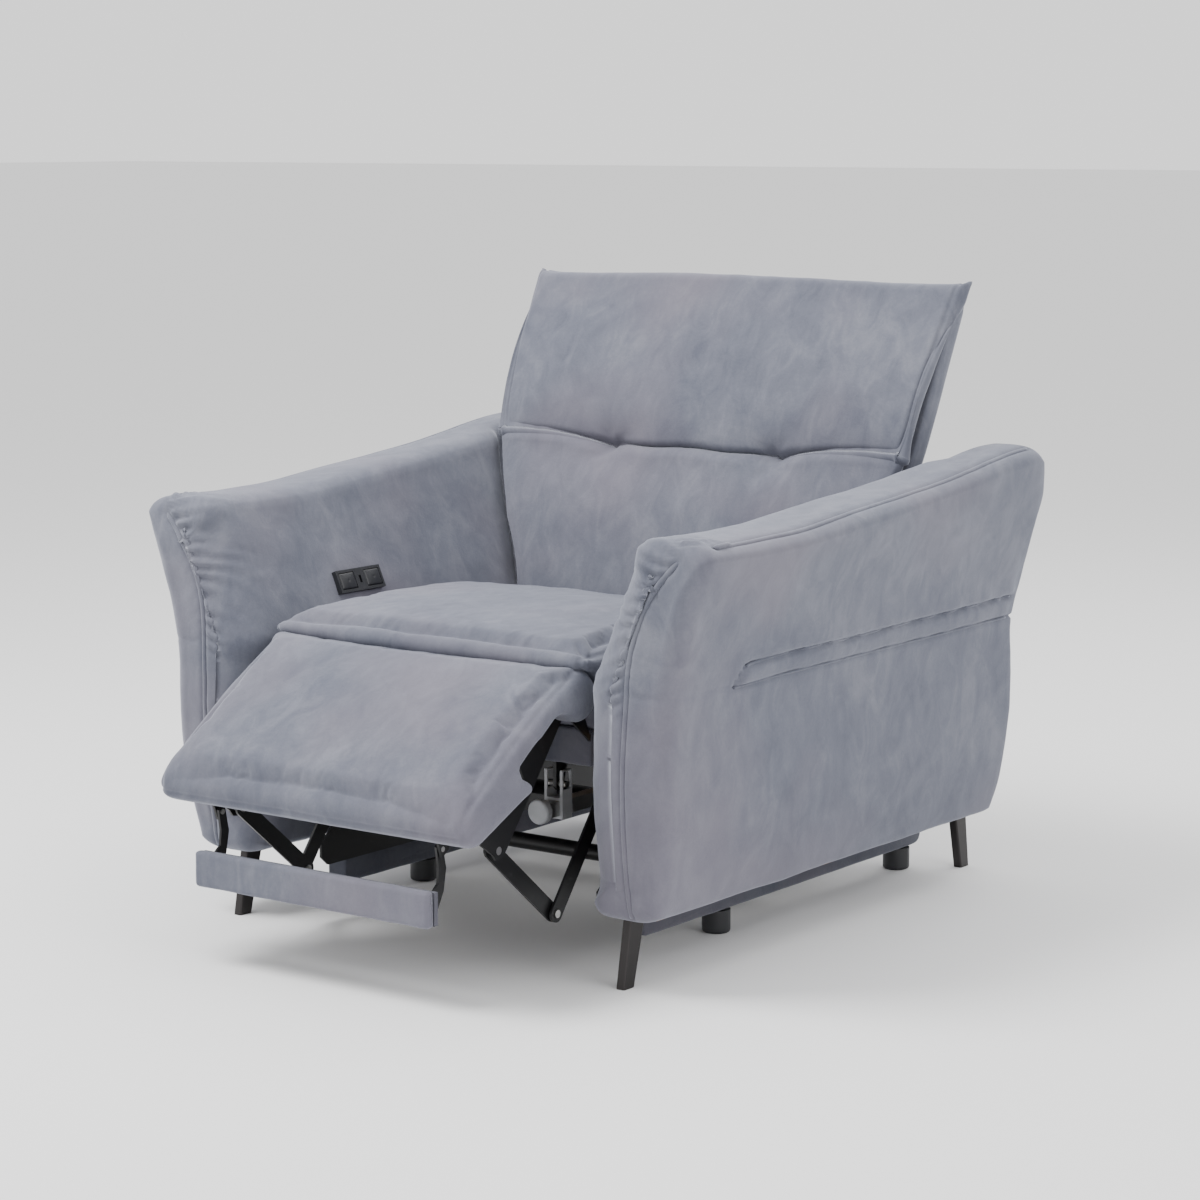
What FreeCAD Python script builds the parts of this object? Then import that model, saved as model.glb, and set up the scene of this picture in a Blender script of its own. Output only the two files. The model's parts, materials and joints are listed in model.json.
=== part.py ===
import FreeCAD, Part
import os
import re
import Sketcher
from FreeCAD import Placement, Rotation, Vector

# Power recliner armchair, millimetres. +Z up, -Y is the front, X is across.
# The origin lies on the floor, under the middle of the chair with its footrest part open.

doc = FreeCAD.newDocument("ReclinerArmchair")
sheet = doc.addObject("Spreadsheet::Sheet", "Sizes")

# Driving dimensions. Lengths in millimetres, angles in degrees.
sizes = {
    # clearances
    "SoftGap": 3.0,            # between soft pieces that move past each other
    "RunningFit": 0.05,        # radial, pin in its hole
    "OpenFit": 0.6,            # radial, at the opened knee pivot
    # side clearances between the layers of plates, from the arms inwards
    "RailGap": 2.0,
    "SlideGap": 6.0,
    "PlateGap": 4.0,
    "LinkGap": 3.0,
    "FlapSideGap": 10.0,
    "FlapArmInset": 20.0,
    "FlapEarGap": 2.0,
    "SeatSideGap": 10.0,
    "BackWaistGap": 8.0,
    "BackFlare": 25.0,         # how much wider the back gets from its seam to its top
    "RecessGap": 8.0,
    "BackClear": 63.0,         # seat cushion's rear, ahead of the back's hinge
    "SeatRailInset": 7.0,
    "LegInset": 59.0,
    "LegFrontInset": 42.0,
    "LegRearReach": 12.0,
    "RailRearInset": 14.0,
    "GlideInset": 50.0,
    "ArmFrameDrop": 56.0,
    # arms
    "ArmInner": 310.0,         # inner face, from the middle of the chair
    "ArmFootWidth": 142.0,     # thickness just above the bottom
    "ArmKneeWidth": 156.0,
    "ArmWaistWidth": 164.0,
    "ArmTopWidth": 235.0,
    "ArmInnerFlare": 95.0,     # how far the inner face slants outwards
    "ArmBottom": 105.0,
    "ArmFoot": 130.0,          # heights of the turns in the cross-section
    "ArmKnee": 240.0,
    "ArmWaist": 440.0,
    "ArmFrontTop": 652.0,
    "ArmRearTop": 718.0,
    "ArmFront": -387.0,
    "ArmRear": 592.0,
    "ArmRiseStart": 15.0,     # where the top starts to climb to the rear
    "ArmRearTopInset": 92.0,
    "ArmRearLean": 530.0,
    "ArmRound": 36.0,          # rounding of the front edges
    "ArmToeRound": 45.0,       # rounding below the front face
    "RecessBottom": 400.0,
    "RecessFrontLow": 272.0,
    "RecessFrontTop": 364.0,
    "ArmFrameInset": 90.0,     # plywood frame, from the arm's inner face
    "ArmFrameThick": 22.0,
    "ArmFrameMargin": 45.0,
    "ArmWindowStart": 110.0,   # four openings in the frame
    "ArmWindowPitch": 170.0,
    "ArmWindowLength": 112.0,
    "ArmWindowHeight": 115.0,
    "ArmFrameRearTop": 385.0,
    "ArmFrameStep": 255.0,
    # legs and glides
    "LegThick": 15.0,
    "LegTopWidth": 35.0,
    "LegFootWidth": 26.0,
    "LegFrontSplay": 22.0,
    "LegRearSplay": 18.0,
    "LegPlateThick": 4.0,
    "LegPlateSide": 52.0,
    "LegPlateLength": 38.0,
    "LegEdgeRound": 3.0,
    "GlideFrontY": 1.0,
    "GlideRadius": 22.0,
    "GlideRound": 5.0,
    # base: rails, plates, tubes, rear cover board
    "RailWidth": 38.0,
    "RailBottom": 36.0,
    "RailHeight": 70.0,
    "RailFront": -215.0,
    "RailRound": 14.0,
    "PlateThick": 4.0,
    "BasePlateTop": 268.0,
    "BasePlateBottom": 76.0,
    "BasePlateFront": -275.0,
    "BasePlateRear": 480.0,
    "BasePlateRise": 60.0,     # length of the sloping ends
    "BaseTubeFrontY": -90.0,
    "BaseTubeRearY": 250.0,
    "BaseTubeZ": 118.0,
    "TubeRadius": 12.5,
    "TubeWall": 2.0,
    "BoardThick": 18.0,
    "BoardTop": 382.0,
    "BoardBottom": 112.0,
    "BracketThick": 4.0,
    "BracketFoot": 24.0,
    "BracketRise": 46.0,
    "BracketLength": 40.0,
    "BracketPitch": 250.0,
    # control panel on the arm at -X
    "PanelLength": 106.0,
    "PanelHeight": 37.0,
    "PanelThick": 9.0,
    "PanelY": -102.0,
    "PanelZ": 500.0,
    "ButtonLength": 36.0,
    "ButtonHeight": 27.0,
    "ButtonThick": 6.0,
    "ButtonPocket": 7.0,
    "ButtonGap": 0.4,
    "ButtonRest": 2.5,         # free height under a button
    "ButtonOffset": 30.0,
    "PortLength": 12.0,
    "PortHeight": 20.0,
    "PortSlotLength": 5.12,    # opening of a standard type A charging socket
    "PortSlotHeight": 12.5,
    "PortThick": 16.0,         # from the panel's face to the port's rear
    "PortFloor": 2.0,
    "PortClearance": 0.5,      # between the port and the arm's padding
    # seat
    "SeatTop": 462.0,
    "SeatRearTop": 436.0,
    "SeatCrown": 474.0,
    "SeatCrownY": -120.0,
    "SeatBottom": 346.0,
    "SeatRailHeight": 45.0,
    "SeatRailWidth": 36.0,
    "SeatRailFront": -270.0,
    "SeatRailDepth": 30.0,
    "SeatPlateBottom": 228.0,
    "SeatTravel": 80.0,        # how far the seat slides forward as the back lies down
    "GuideFrontY": -120.0,
    "GuideRearY": 190.0,
    "GuideZ": 246.0,
    "GuideRadius": 5.0,
    "SpringWire": 2.0,         # radius
    "SpringPitch": 22.0,
    "SpringSwing": 28.0,
    "SeatTubeY": 165.0,
    "SeatTubeZ": 262.0,
    # footrest and its linkage; HingeY/HingeZ is the footrest's hinge on the seat
    "HingeY": -335.0,
    "HingeZ": 410.0,
    "HubRadius": 52.0,
    "FootSlope": 36.0,         # how far the footrest's top slopes down at rest
    "FootLength": 312.0,
    "FootNoseDrop": 50.0,
    "FootBoxStart": 150.0,
    "FootBoxDeep": 83.0,
    "FootPadThick": 26.0,
    "FootBoardThick": 15.0,
    "FootBoardMargin": 16.0,
    "LinkPivotAlong": 239.3,   # footrest pivot of the upper link, along the footrest
    "LinkPivotBelow": 73.6,
    "LowerPivotY": -192.0,
    "LowerPivotZ": 290.0,
    "LinkHalfWidth": 13.0,
    "LinkThick": 4.0,
    "PinRadius": 6.0,
    "PinProud": 2.0,           # how far a pin's head stands out
    "TorqueTubeRadius": 12.0,
    "AxleRadius": 8.0,
    # foot flap
    "FlapPivotAlong": 295.0,
    "FlapPivotBelow": 19.0,
    "FlapFrontY": -607.0,
    "FlapThick": 25.0,
    "FlapBottom": 113.0,
    "FlapHeight": 56.0,
    "FlapBoardThick": 8.0,
    "FlapArmHalfWidth": 7.0,
    "FlapPinRadius": 4.0,
    # drive
    "DriveX": 140.0,
    "DriveZ": 210.0,
    "CrankRadius": 45.0,
    "CrankAhead": 10.5,        # crank angle ahead of straight down, at rest
    "CrankThick": 6.0,
    "DrivePinRadius": 5.0,
    "DriveRailWidth": 22.0,
    "DriveRailHeight": 22.0,
    "DriveRailFront": -240.0,
    "DriveRailRear": 60.0,
    "DriveCapLength": 12.0,
    "DriveCapRadius": 19.0,
    "NutHalfLength": 12.0,
    "NutWall": 5.0,
    "NutSpan": 17.0,
    "NutTop": 268.0,
    "GearboxLength": 86.0,
    "GearboxWidth": 70.0,
    "GearboxBottom": 168.0,
    "GearboxTop": 244.0,
    "MotorRadius": 29.0,
    "MotorLength": 92.0,
    "HangerWall": 5.0,
    # back; its local frame leans by BackLean about the back's hinge
    "BackPivotY": 285.0,
    "BackPivotZ": 370.0,
    "BackLean": 20.0,
    "BackFace": -71.0,         # front face, from the hinge plane
    "BackCushionRear": -4.0,
    "BackBottom": 34.0,        # along the lean, from the hinge
    "BackSeam": 315.0,
    "BackTop": 628.0,
    "BackTopFace": -34.0,
    "BackTopRear": 12.0,
    "BackWaist": 92.0,
    "BackCrown": 40.0,         # rounding of the cushions' front side edges
    "BackPostThick": 26.0,
    "BackPostWidth": 40.0,
    "BackFrameTop": 590.0,
    "BackRailHeight": 50.0,
    "BackPanelThick": 8.0,
    "BackPanelBottom": 50.0,
    "HingeLobe": 17.0,
}
for row, (alias, size) in enumerate(sizes.items(), start=1):
    sheet.set(f"A{row}", alias)
    sheet.set(f"B{row}", str(size))
    sheet.setAlias(f"B{row}", alias)
doc.recompute()

# Places that follow from the sizes above, from the outside of the chair inwards.
follows = {
    "RailInner": "ArmInner - RailGap - RailWidth",
    "SeatPlateInner": "RailInner - 2 * PlateThick - SlideGap",
    "BracketPlateInner": "SeatPlateInner - PlateThick - PlateGap",
    "LowerLinkInner": "BracketPlateInner - LinkThick - LinkGap",
    "UpperLinkInner": "LowerLinkInner - LinkThick - LinkGap",
    "BackBracketInner": "SeatPlateInner - PlateThick - PlateGap",
    "BackPostX": "BackBracketInner + PlateThick / 2",
    "FlapHalfWidth": "UpperLinkInner - FlapSideGap",
    "FlapArmInner": "FlapHalfWidth - FlapArmInset",
    "FlapEarInner": "FlapArmInner + PlateThick + FlapEarGap",
    "SeatHalfWidth": "ArmInner - SeatSideGap",
    "FootHalfWidth": "SeatHalfWidth - SoftGap",
    "BackWaistHalfWidth": "ArmInner - BackWaistGap",
    "BackSeamHalfWidth": "ArmInner + ArmInnerFlare - SoftGap",
    "BackTopHalfWidth": "BackSeamHalfWidth + BackFlare",
    "RecessInner": "BackTopHalfWidth + RecessGap",
    "SeatRear": "BackPivotY - BackClear",
    "SeatRailRear": "SeatRear - SeatRailInset",
    "LegX": "ArmInner + LegInset",
    "LegFrontY": "ArmFront + LegFrontInset",
    "LegRearY": "ArmRear + LegRearReach",
    "RailRear": "ArmRear - RailRearInset",
    "GlideX": "RailInner + RailWidth / 2",
    "GlideRearY": "RailRear - GlideInset",
    "ArmShoulder": "ArmFrontTop",
    "ArmFrameTop": "ArmFrontTop - ArmFrameDrop",
}
aliasPattern = re.compile(r"\b(" + "|".join(sizes) + r")\b")
followPattern = re.compile(r"\b(" + "|".join(follows) + r")\b")
pieces = []          # every finished sub-part, in the order it is made


def bound(text):
    """An expression on the sheet's aliases, as the document reads it."""
    while followPattern.search(text):
        text = followPattern.sub(lambda found: f"({follows[found[1]]})", text)
    return aliasPattern.sub(r"Sizes.\1", text)


def number(text):
    """The present value of an expression on the sheet's aliases."""
    return float(sheet.evalExpression(bound(text)))


# Frames that a piece can be drawn in: plain, or turned about a pivot across the chair.
# (turn about +X, pivot Y, pivot Z)
frames = {
    "chair": None,
    "back": ("-BackLean", "BackPivotY", "BackPivotZ"),
    "foot": ("FootSlope", "HingeY", "HingeZ"),
}


def place(piece, x="0", y="0", z="0", frame="chair"):
    """Binds a piece's place, given in one of the frames above."""
    if frames[frame] is None:
        where = (x, y, z)
    else:
        turn, pivotY, pivotZ = frames[frame]
        piece.Placement = Placement(Vector(), Rotation(Vector(1, 0, 0), number(turn)))
        piece.setExpression("Placement.Rotation.Angle", bound(f"({turn}) * 1deg"))
        c = f"cos(({turn}) * 1deg)"
        s = f"sin(({turn}) * 1deg)"
        where = (x, f"{pivotY} + ({y}) * {c} - ({z}) * {s}", f"{pivotZ} + ({y}) * {s} + ({z}) * {c}")
    for name, text in zip("xyz", where):
        piece.setExpression(f"Placement.Base.{name}", bound(text))


def newBody(label):
    body = doc.addObject("PartDesign::Body", label)
    body.Label = label
    pieces.append(body)
    return body


def sketchOn(body, role, offset=None):
    """A sketch on one of the body's own origin planes, moved along its normal by offset."""
    sketch = body.newObject("Sketcher::SketchObject", body.Name + "Sketch")
    plane = [feature for feature in body.Origin.OriginFeatures if feature.Role == role][0]
    sketch.AttachmentSupport = [(plane, "")]
    sketch.MapMode = "FlatFace"
    if offset is not None:
        sketch.setExpression("AttachmentOffset.Base.z", bound(offset))
    return sketch


def pin(sketch, geometry, point, u, v):
    """Holds a point of the sketch at two expressions."""
    for kind, text in (("DistanceX", u), ("DistanceY", v)):
        index = sketch.addConstraint(Sketcher.Constraint(kind, -1, 1, geometry, point, number(text)))
        sketch.setExpression(f"Constraints[{index}]", bound(text))


def polygon(sketch, points):
    corners = [Vector(number(u), number(v), 0) for u, v in points]
    lines = []
    for here, there in zip(corners, corners[1:] + corners[:1]):
        lines.append(sketch.addGeometry(Part.LineSegment(here, there), False))
    for line, following in zip(lines, lines[1:] + lines[:1]):
        sketch.addConstraint(Sketcher.Constraint("Coincident", line, 2, following, 1))
    for line, (u, v) in zip(lines, points):
        pin(sketch, line, 1, u, v)


def circle(sketch, u, v, radius):
    centre = Vector(number(u), number(v), 0)
    round_ = sketch.addGeometry(Part.Circle(centre, Vector(0, 0, 1), number(radius)), False)
    pin(sketch, round_, 3, u, v)
    index = sketch.addConstraint(Sketcher.Constraint("Radius", round_, number(radius)))
    sketch.setExpression(f"Constraints[{index}]", bound(radius))


def rectangle(u, v, width, height):
    """Corner points of a rectangle with its lowest corner at u, v."""
    return [(u, v), (f"{u} + {width}", v), (f"{u} + {width}", f"{v} + {height}"), (u, f"{v} + {height}")]


def pad(body, sketch, length, both=False, back=False):
    feature = body.newObject("PartDesign::Pad", body.Name + "Pad")
    feature.Profile = sketch
    feature.Length = number(length)
    feature.setExpression("Length", bound(length))
    feature.Midplane = both
    feature.Reversed = back
    doc.recompute()
    return feature


def pocket(body, sketch, length, both=False, back=False):
    before = body.Shape.Volume
    feature = body.newObject("PartDesign::Pocket", body.Name + "Pocket")
    feature.Profile = sketch
    feature.Length = number(length)
    feature.setExpression("Length", bound(length))
    feature.Midplane = both
    feature.Reversed = back
    doc.recompute()
    if not body.Shape.Volume < before:
        raise RuntimeError(body.Label + ": a pocket removed nothing")
    return feature


def fillet(body, radius, wanted):
    """Rounds the edges of the body that the function wanted picks, by their middle points."""
    base = body.Tip
    names = []
    for index, edge in enumerate(base.Shape.Edges, start=1):
        middle = edge.valueAt((edge.FirstParameter + edge.LastParameter) / 2)
        if wanted(edge, middle):
            names.append(f"Edge{index}")
    feature = body.newObject("PartDesign::Fillet", body.Name + "Fillet")
    feature.Base = (base, names)
    feature.Radius = number(radius)
    feature.setExpression("Radius", bound(radius))
    doc.recompute()
    return feature


def along(axis):
    """A picker of straight edges that run along an axis: 0, 1 or 2."""
    def test(edge, middle):
        if edge.Curve.TypeId != "Part::GeomLine":
            return False
        return abs(abs(edge.Curve.Direction[axis]) - 1) < 1e-6
    return test


def sideways(label, outline, inner, thick, side=1, holes=(), windows=(), frame="chair"):
    """A plate across X: an outline in the YZ plane, from |X| = inner outwards by thick.

    outline is a list of points, or one circle as (y, z, radius). holes are circles and
    windows are lists of points. side 0 makes a plate from -thick to +thick about X = 0.
    """
    body = newBody(label)
    sketch = sketchOn(body, "YZ_Plane")
    if isinstance(outline, tuple):
        circle(sketch, *outline)
    else:
        polygon(sketch, outline)
    for hole in holes:
        circle(sketch, *hole)
    for window in windows:
        polygon(sketch, window)
    if side == 0:
        pad(body, sketch, f"2 * ({thick})", both=True)
        place(body, frame=frame)
    else:
        pad(body, sketch, thick)
        start = inner if side > 0 else f"-({inner}) - ({thick})"
        place(body, x=start, frame=frame)
    return body


def link(label, first, second, radius, inner, thick, side, holes, frame="chair"):
    """A flat bar with round ends at two points of the YZ plane, with round holes."""
    body = newBody(label)
    sketch = sketchOn(body, "YZ_Plane")
    a = Vector(number(first[0]), number(first[1]), 0)
    b = Vector(number(second[0]), number(second[1]), 0)
    r = number(radius)
    ahead = (b - a).normalize()
    across = Vector(-ahead.y, ahead.x, 0)
    ends = []
    for centre, outward in ((a, -ahead), (b, ahead)):
        start, end = centre + across * r, centre - across * r
        if outward == ahead:
            start, end = end, start
        arc = Part.Arc(start, centre + outward * r, end)
        ends.append(sketch.addGeometry(arc, False))
    bars = []
    for sign in (1, -1):
        line = Part.LineSegment(a + across * (r * sign), b + across * (r * sign))
        bars.append(sketch.addGeometry(line, False))

    def nearest(geometry, target):
        one = sketch.getPoint(geometry, 1)
        two = sketch.getPoint(geometry, 2)
        return 1 if one.distanceToPoint(target) < two.distanceToPoint(target) else 2

    for bar, sign in zip(bars, (1, -1)):
        for end, centre, lineEnd in ((ends[0], a, 1), (ends[1], b, 2)):
            corner = centre + across * (r * sign)
            sketch.addConstraint(
                Sketcher.Constraint("Tangent", bar, lineEnd, end, nearest(end, corner)))
    pin(sketch, ends[0], 3, *first)
    pin(sketch, ends[1], 3, *second)
    index = sketch.addConstraint(Sketcher.Constraint("Radius", ends[0], r))
    sketch.setExpression(f"Constraints[{index}]", bound(radius))
    for hole in holes:
        circle(sketch, *hole)
    pad(body, sketch, thick)
    place(body, x=inner if side > 0 else f"-({inner}) - ({thick})", frame=frame)
    return body


def box(label, length, width, height, x="0", y="0", z="0", frame="chair"):
    """A plain block with its lowest corner at x, y, z of its frame."""
    piece = doc.addObject("Part::Box", label)
    piece.Label = label
    for name, text in (("Length", length), ("Width", width), ("Height", height)):
        piece.setExpression(name, bound(text))
    place(piece, x, y, z, frame)
    pieces.append(piece)
    return piece


def group(label, members):
    """One sub-part that is several separate, equal pieces."""
    piece = doc.addObject("Part::Compound", label)
    piece.Label = label
    piece.Links = members
    for member in members:
        if member in pieces:
            pieces.remove(member)
    pieces.append(piece)
    return piece


def mirrored(x, width, side):
    """Where a block starts that spans x to x + width on the side of +X."""
    return x if side > 0 else f"-({x}) - ({width})"


sides = {"right": 1, "left": -1}     # right is +X

# ---------------------------------------------------------------- arms
armTop = "ArmRearTop + 60"           # the profile runs past the top, which is cut later


def armSection(side):
    s = "" if side > 0 else "-"
    outer = "ArmInner + {}"
    points = [
        ("ArmInner", "ArmBottom"),
        (outer.format("ArmFootWidth - ArmFoot + ArmBottom"), "ArmBottom"),
        (outer.format("ArmFootWidth"), "ArmFoot"),
        (outer.format("ArmKneeWidth"), "ArmKnee"),
        (outer.format("ArmWaistWidth"), "ArmWaist"),
        (outer.format("ArmTopWidth"), "ArmShoulder"),
        (outer.format("ArmTopWidth"), armTop),
        (outer.format("ArmInnerFlare"), armTop),
        (outer.format("ArmInnerFlare"), "ArmShoulder"),
        ("ArmInner", "ArmWaist"),
    ]
    return [(f"{s}({x})", z) for x, z in points]


armFrameOutline = [
    ("ArmFront + ArmFrameMargin", "ArmBottom"),
    ("ArmRear - ArmFrameMargin", "ArmBottom"),
    ("ArmRear - ArmFrameMargin", "ArmFrameRearTop"),
    ("ArmFrameStep", "ArmFrameRearTop"),
    ("ArmFrameStep", "ArmFrameTop"),
    ("ArmFront + ArmFrameMargin", "ArmFrameTop"),
]
armTopCut = [
    ("ArmFront - 50", "ArmFrontTop"),
    ("ArmRiseStart", "ArmFrontTop"),
    ("ArmRear - ArmRearTopInset", "ArmRearTop"),
    ("ArmRear", "ArmRearLean"),
    ("ArmRear + 50", "ArmRearLean"),
    ("ArmRear + 50", "ArmRearTop + 90"),
    ("ArmFront - 50", "ArmRearTop + 90"),
]
armToeCut = [
    ("ArmFront - 10", "ArmBottom - 10"),
    ("ArmFront + ArmToeRound", "ArmBottom - 10"),
    ("ArmFront + ArmToeRound", "ArmBottom"),
    ("ArmFront + ArmToeRound * 0.3", "ArmBottom + ArmToeRound * 0.3"),
    ("ArmFront", "ArmBottom + ArmToeRound"),
    ("ArmFront - 10", "ArmBottom + ArmToeRound"),
]
armRecess = [
    ("RecessFrontLow", "RecessBottom"),
    ("ArmRear + 50", "RecessBottom"),
    ("ArmRear + 50", "ArmRearTop + 90"),
    ("RecessFrontTop + 20", "ArmRearTop + 90"),
    ("RecessFrontTop", "ArmRearTop - 20"),
]


def makeArm(name, side):
    cover = newBody("arm_cover_" + name)
    section = sketchOn(cover, "XZ_Plane", offset="-ArmFront")
    polygon(section, armSection(side))
    pad(cover, section, "ArmRear - ArmFront", back=True)
    front = number("ArmFront")
    rear = number("ArmRear")
    outermost = number("ArmInner + ArmFootWidth") - 5
    fillet(cover, "ArmRound", lambda edge, m: abs(m.x) > outermost and m.z > number("ArmFoot") and (
        abs(m.y - front) < 1 or abs(m.y - rear) < 1) and not along(0)(edge, m))
    top = sketchOn(cover, "YZ_Plane")
    polygon(top, armTopCut)
    pocket(cover, top, "2 * (ArmInner + ArmTopWidth) + 100", both=True)
    recess = sketchOn(cover, "YZ_Plane")
    polygon(recess, armRecess)
    pocket(cover, recess, "RecessInner", back=side > 0)
    toe = sketchOn(cover, "YZ_Plane")
    polygon(toe, armToeCut)
    pocket(cover, toe, "2 * (ArmInner + ArmTopWidth) + 100", both=True)
    slot = sketchOn(cover, "YZ_Plane", offset=mirrored("ArmInner + ArmFrameInset", "ArmFrameThick", side))
    polygon(slot, armFrameOutline)
    pocket(cover, slot, "ArmFrameThick", back=True)

    windows = [rectangle(f"ArmFront + ArmWindowStart + {count} * ArmWindowPitch", "ArmBottom + ArmFrameMargin * 2",
                         "ArmWindowLength", "ArmWindowHeight") for count in range(4)]
    sideways("arm_frame_" + name, armFrameOutline, "ArmInner + ArmFrameInset", "ArmFrameThick",
             side, windows=windows)
    return cover


armCovers = {name: makeArm(name, side) for name, side in sides.items()}

# ---------------------------------------------------------------- legs and glides


def makeLeg(name, side, end, footY, splay):
    """A flat tapered blade under a mounting plate; the foot stands splay beyond the top."""
    leg = newBody(f"leg_{end}_{name}")
    top = "ArmBottom - LegPlateThick"
    sketch = sketchOn(leg, "YZ_Plane")
    polygon(sketch, [
        (f"{footY} - LegFootWidth / 2", "0"),
        (f"{footY} + LegFootWidth / 2", "0"),
        (f"{footY} + ({splay}) + LegTopWidth / 2", top),
        (f"{footY} + ({splay}) - LegTopWidth / 2", top),
    ])
    pad(leg, sketch, "LegThick", both=True)
    fillet(leg, "LegEdgeRound", lambda edge, m: abs(m.x) > 1 and abs(edge.Curve.Direction.z) > 0.5)
    plate = sketchOn(leg, "XY_Plane", offset=top)
    polygon(plate, rectangle("-LegPlateSide / 2", f"{footY} + ({splay}) - LegPlateLength / 2",
                             "LegPlateSide", "LegPlateLength"))
    pad(leg, plate, "LegPlateThick")
    place(leg, x="LegX" if side > 0 else "-LegX")
    return leg


group("front_legs", [makeLeg(name, side, "front", "LegFrontY", "LegFrontSplay")
                     for name, side in sides.items()])
group("rear_legs", [makeLeg(name, side, "rear", "LegRearY", "-LegRearSplay")
                    for name, side in sides.items()])
glides = []
for name, side in sides.items():
    for end, y in (("front", "GlideFrontY"), ("rear", "GlideRearY")):
        glide = newBody(f"glide_{end}_{name}")
        sketch = sketchOn(glide, "XY_Plane")
        circle(sketch, "0", "0", "GlideRadius")
        pad(glide, sketch, "RailBottom")
        fillet(glide, "GlideRound", lambda edge, m: abs(m.z) < 0.1)
        place(glide, x="GlideX" if side > 0 else "-GlideX", y=y)
        glides.append(glide)
group("glides", glides)

# ---------------------------------------------------------------- base
plateFrame = "RailInner - PlateThick"


def guideSlot(y):
    """The slot that a seat guide pin runs along, open towards the front by the travel."""
    radius = "(GuideRadius + 2 * RunningFit)"
    return [
        (f"{y} - SeatTravel - {radius} - 1", f"GuideZ - {radius}"),
        (f"{y} + {radius} + 1", f"GuideZ - {radius}"),
        (f"{y} + {radius} + 1", f"GuideZ + {radius}"),
        (f"{y} - SeatTravel - {radius} - 1", f"GuideZ + {radius}"),
    ]


brackets = []
for name, side in sides.items():
    rail = newBody("base_rail_" + name)
    sketch = sketchOn(rail, "XZ_Plane", offset="-RailFront")
    polygon(sketch, [(("" if side > 0 else "-") + f"({x})", z) for x, z in
                     rectangle("RailInner", "RailBottom", "RailWidth", "RailHeight")])
    pad(rail, sketch, "RailRear - RailFront", back=True)
    outer = side * number("RailInner + RailWidth")
    low = number("RailBottom")
    fillet(rail, "RailRound",
           lambda edge, m: along(1)(edge, m) and abs(m.x - outer) < 1 and abs(m.z - low) < 1)
    sideways("base_plate_" + name, [
        ("BasePlateFront", "BasePlateBottom + 14"),
        ("BasePlateFront + 16", "BasePlateBottom"),
        ("BasePlateRear", "BasePlateBottom"),
        ("BasePlateRear", "BasePlateTop - 2 * BasePlateRise"),
        ("BasePlateRear - BasePlateRise", "BasePlateTop"),
        ("BasePlateFront + BasePlateRise", "BasePlateTop"),
        ("BasePlateFront + BasePlateRise / 2", "BasePlateBottom + BasePlateRise"),
        ("BasePlateFront", "BasePlateBottom + BasePlateRise * 0.6"),
    ], plateFrame, "PlateThick", side,
        holes=[("BaseTubeFrontY", "BaseTubeZ", "TubeRadius"), ("BaseTubeRearY", "BaseTubeZ", "TubeRadius")],
        windows=[guideSlot("GuideFrontY"), guideSlot("GuideRearY")])
    for step in range(3):
        y = f"RailFront + 60 + {step} * BracketPitch"
        angle = newBody(f"arm_bracket_{name}_{step}")
        sketch = sketchOn(angle, "XZ_Plane", offset=f"-({y})")
        s = "" if side > 0 else "-"
        top = "RailBottom + RailHeight"
        polygon(sketch, [(f"{s}({x})", z) for x, z in (
            ("ArmInner - BracketFoot", top),
            ("ArmInner", top),
            ("ArmInner", f"{top} + BracketRise"),
            ("ArmInner - BracketThick", f"{top} + BracketRise"),
            ("ArmInner - BracketThick", f"{top} + BracketThick"),
            ("ArmInner - BracketFoot", f"{top} + BracketThick"),
        )])
        pad(angle, sketch, "BracketLength", back=True)
        brackets.append(angle)
group("arm_brackets", brackets)

group("base_tubes", [
    sideways(f"base_tube_{end}", (y, "BaseTubeZ", "TubeRadius"), "0", "RailInner", 0,
             holes=[(y, "BaseTubeZ", "TubeRadius - TubeWall")])
    for end, y in (("front", "BaseTubeFrontY"), ("rear", "BaseTubeRearY"))])

box("rear_board", "2 * ArmInner", "BoardThick", "BoardTop - BoardBottom",
    x="-ArmInner", y="RailRear - BoardThick", z="BoardBottom")

# ---------------------------------------------------------------- control panel
# Its own frame: X along the chair's depth, Y up the slanting face, Z out of the face.
panelTurn = "atan(ArmInnerFlare / (ArmShoulder - ArmWaist))"
panelX = "-(ArmInner + ArmInnerFlare * (PanelZ - ArmWaist) / (ArmShoulder - ArmWaist))"


def panelPlacement(height):
    """Axes of the slanting control panel: Z out of the arm, raised from its face by height."""
    tilt = number(panelTurn)
    turn = Rotation(Vector(0, 1, 0), -tilt).multiply(Rotation(Vector(0, 0, 1), 90))
    turn = turn.multiply(Rotation(Vector(1, 0, 0), 90))
    place = Placement(Vector(number(panelX), number("PanelY"), number("PanelZ")), turn)
    return place.multiply(Placement(Vector(0, 0, number(height)), Rotation()))


def panelPiece(label, outline, start, thick, cuts=()):
    """A piece of the panel; a cut is (points, from height, depth below that height)."""
    body = newBody(label)
    sketch = sketchOn(body, "XY_Plane", offset=start)
    polygon(sketch, outline)
    pad(body, sketch, thick)
    for points, height, depth in cuts:
        hollow = sketchOn(body, "XY_Plane", offset=height)
        polygon(hollow, points)
        pocket(body, hollow, depth)
    body.Placement = panelPlacement("0")
    return body


def centred(u, width, height):
    return rectangle(f"{u} - ({width}) / 2", f"-({height}) / 2", width, height)


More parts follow.
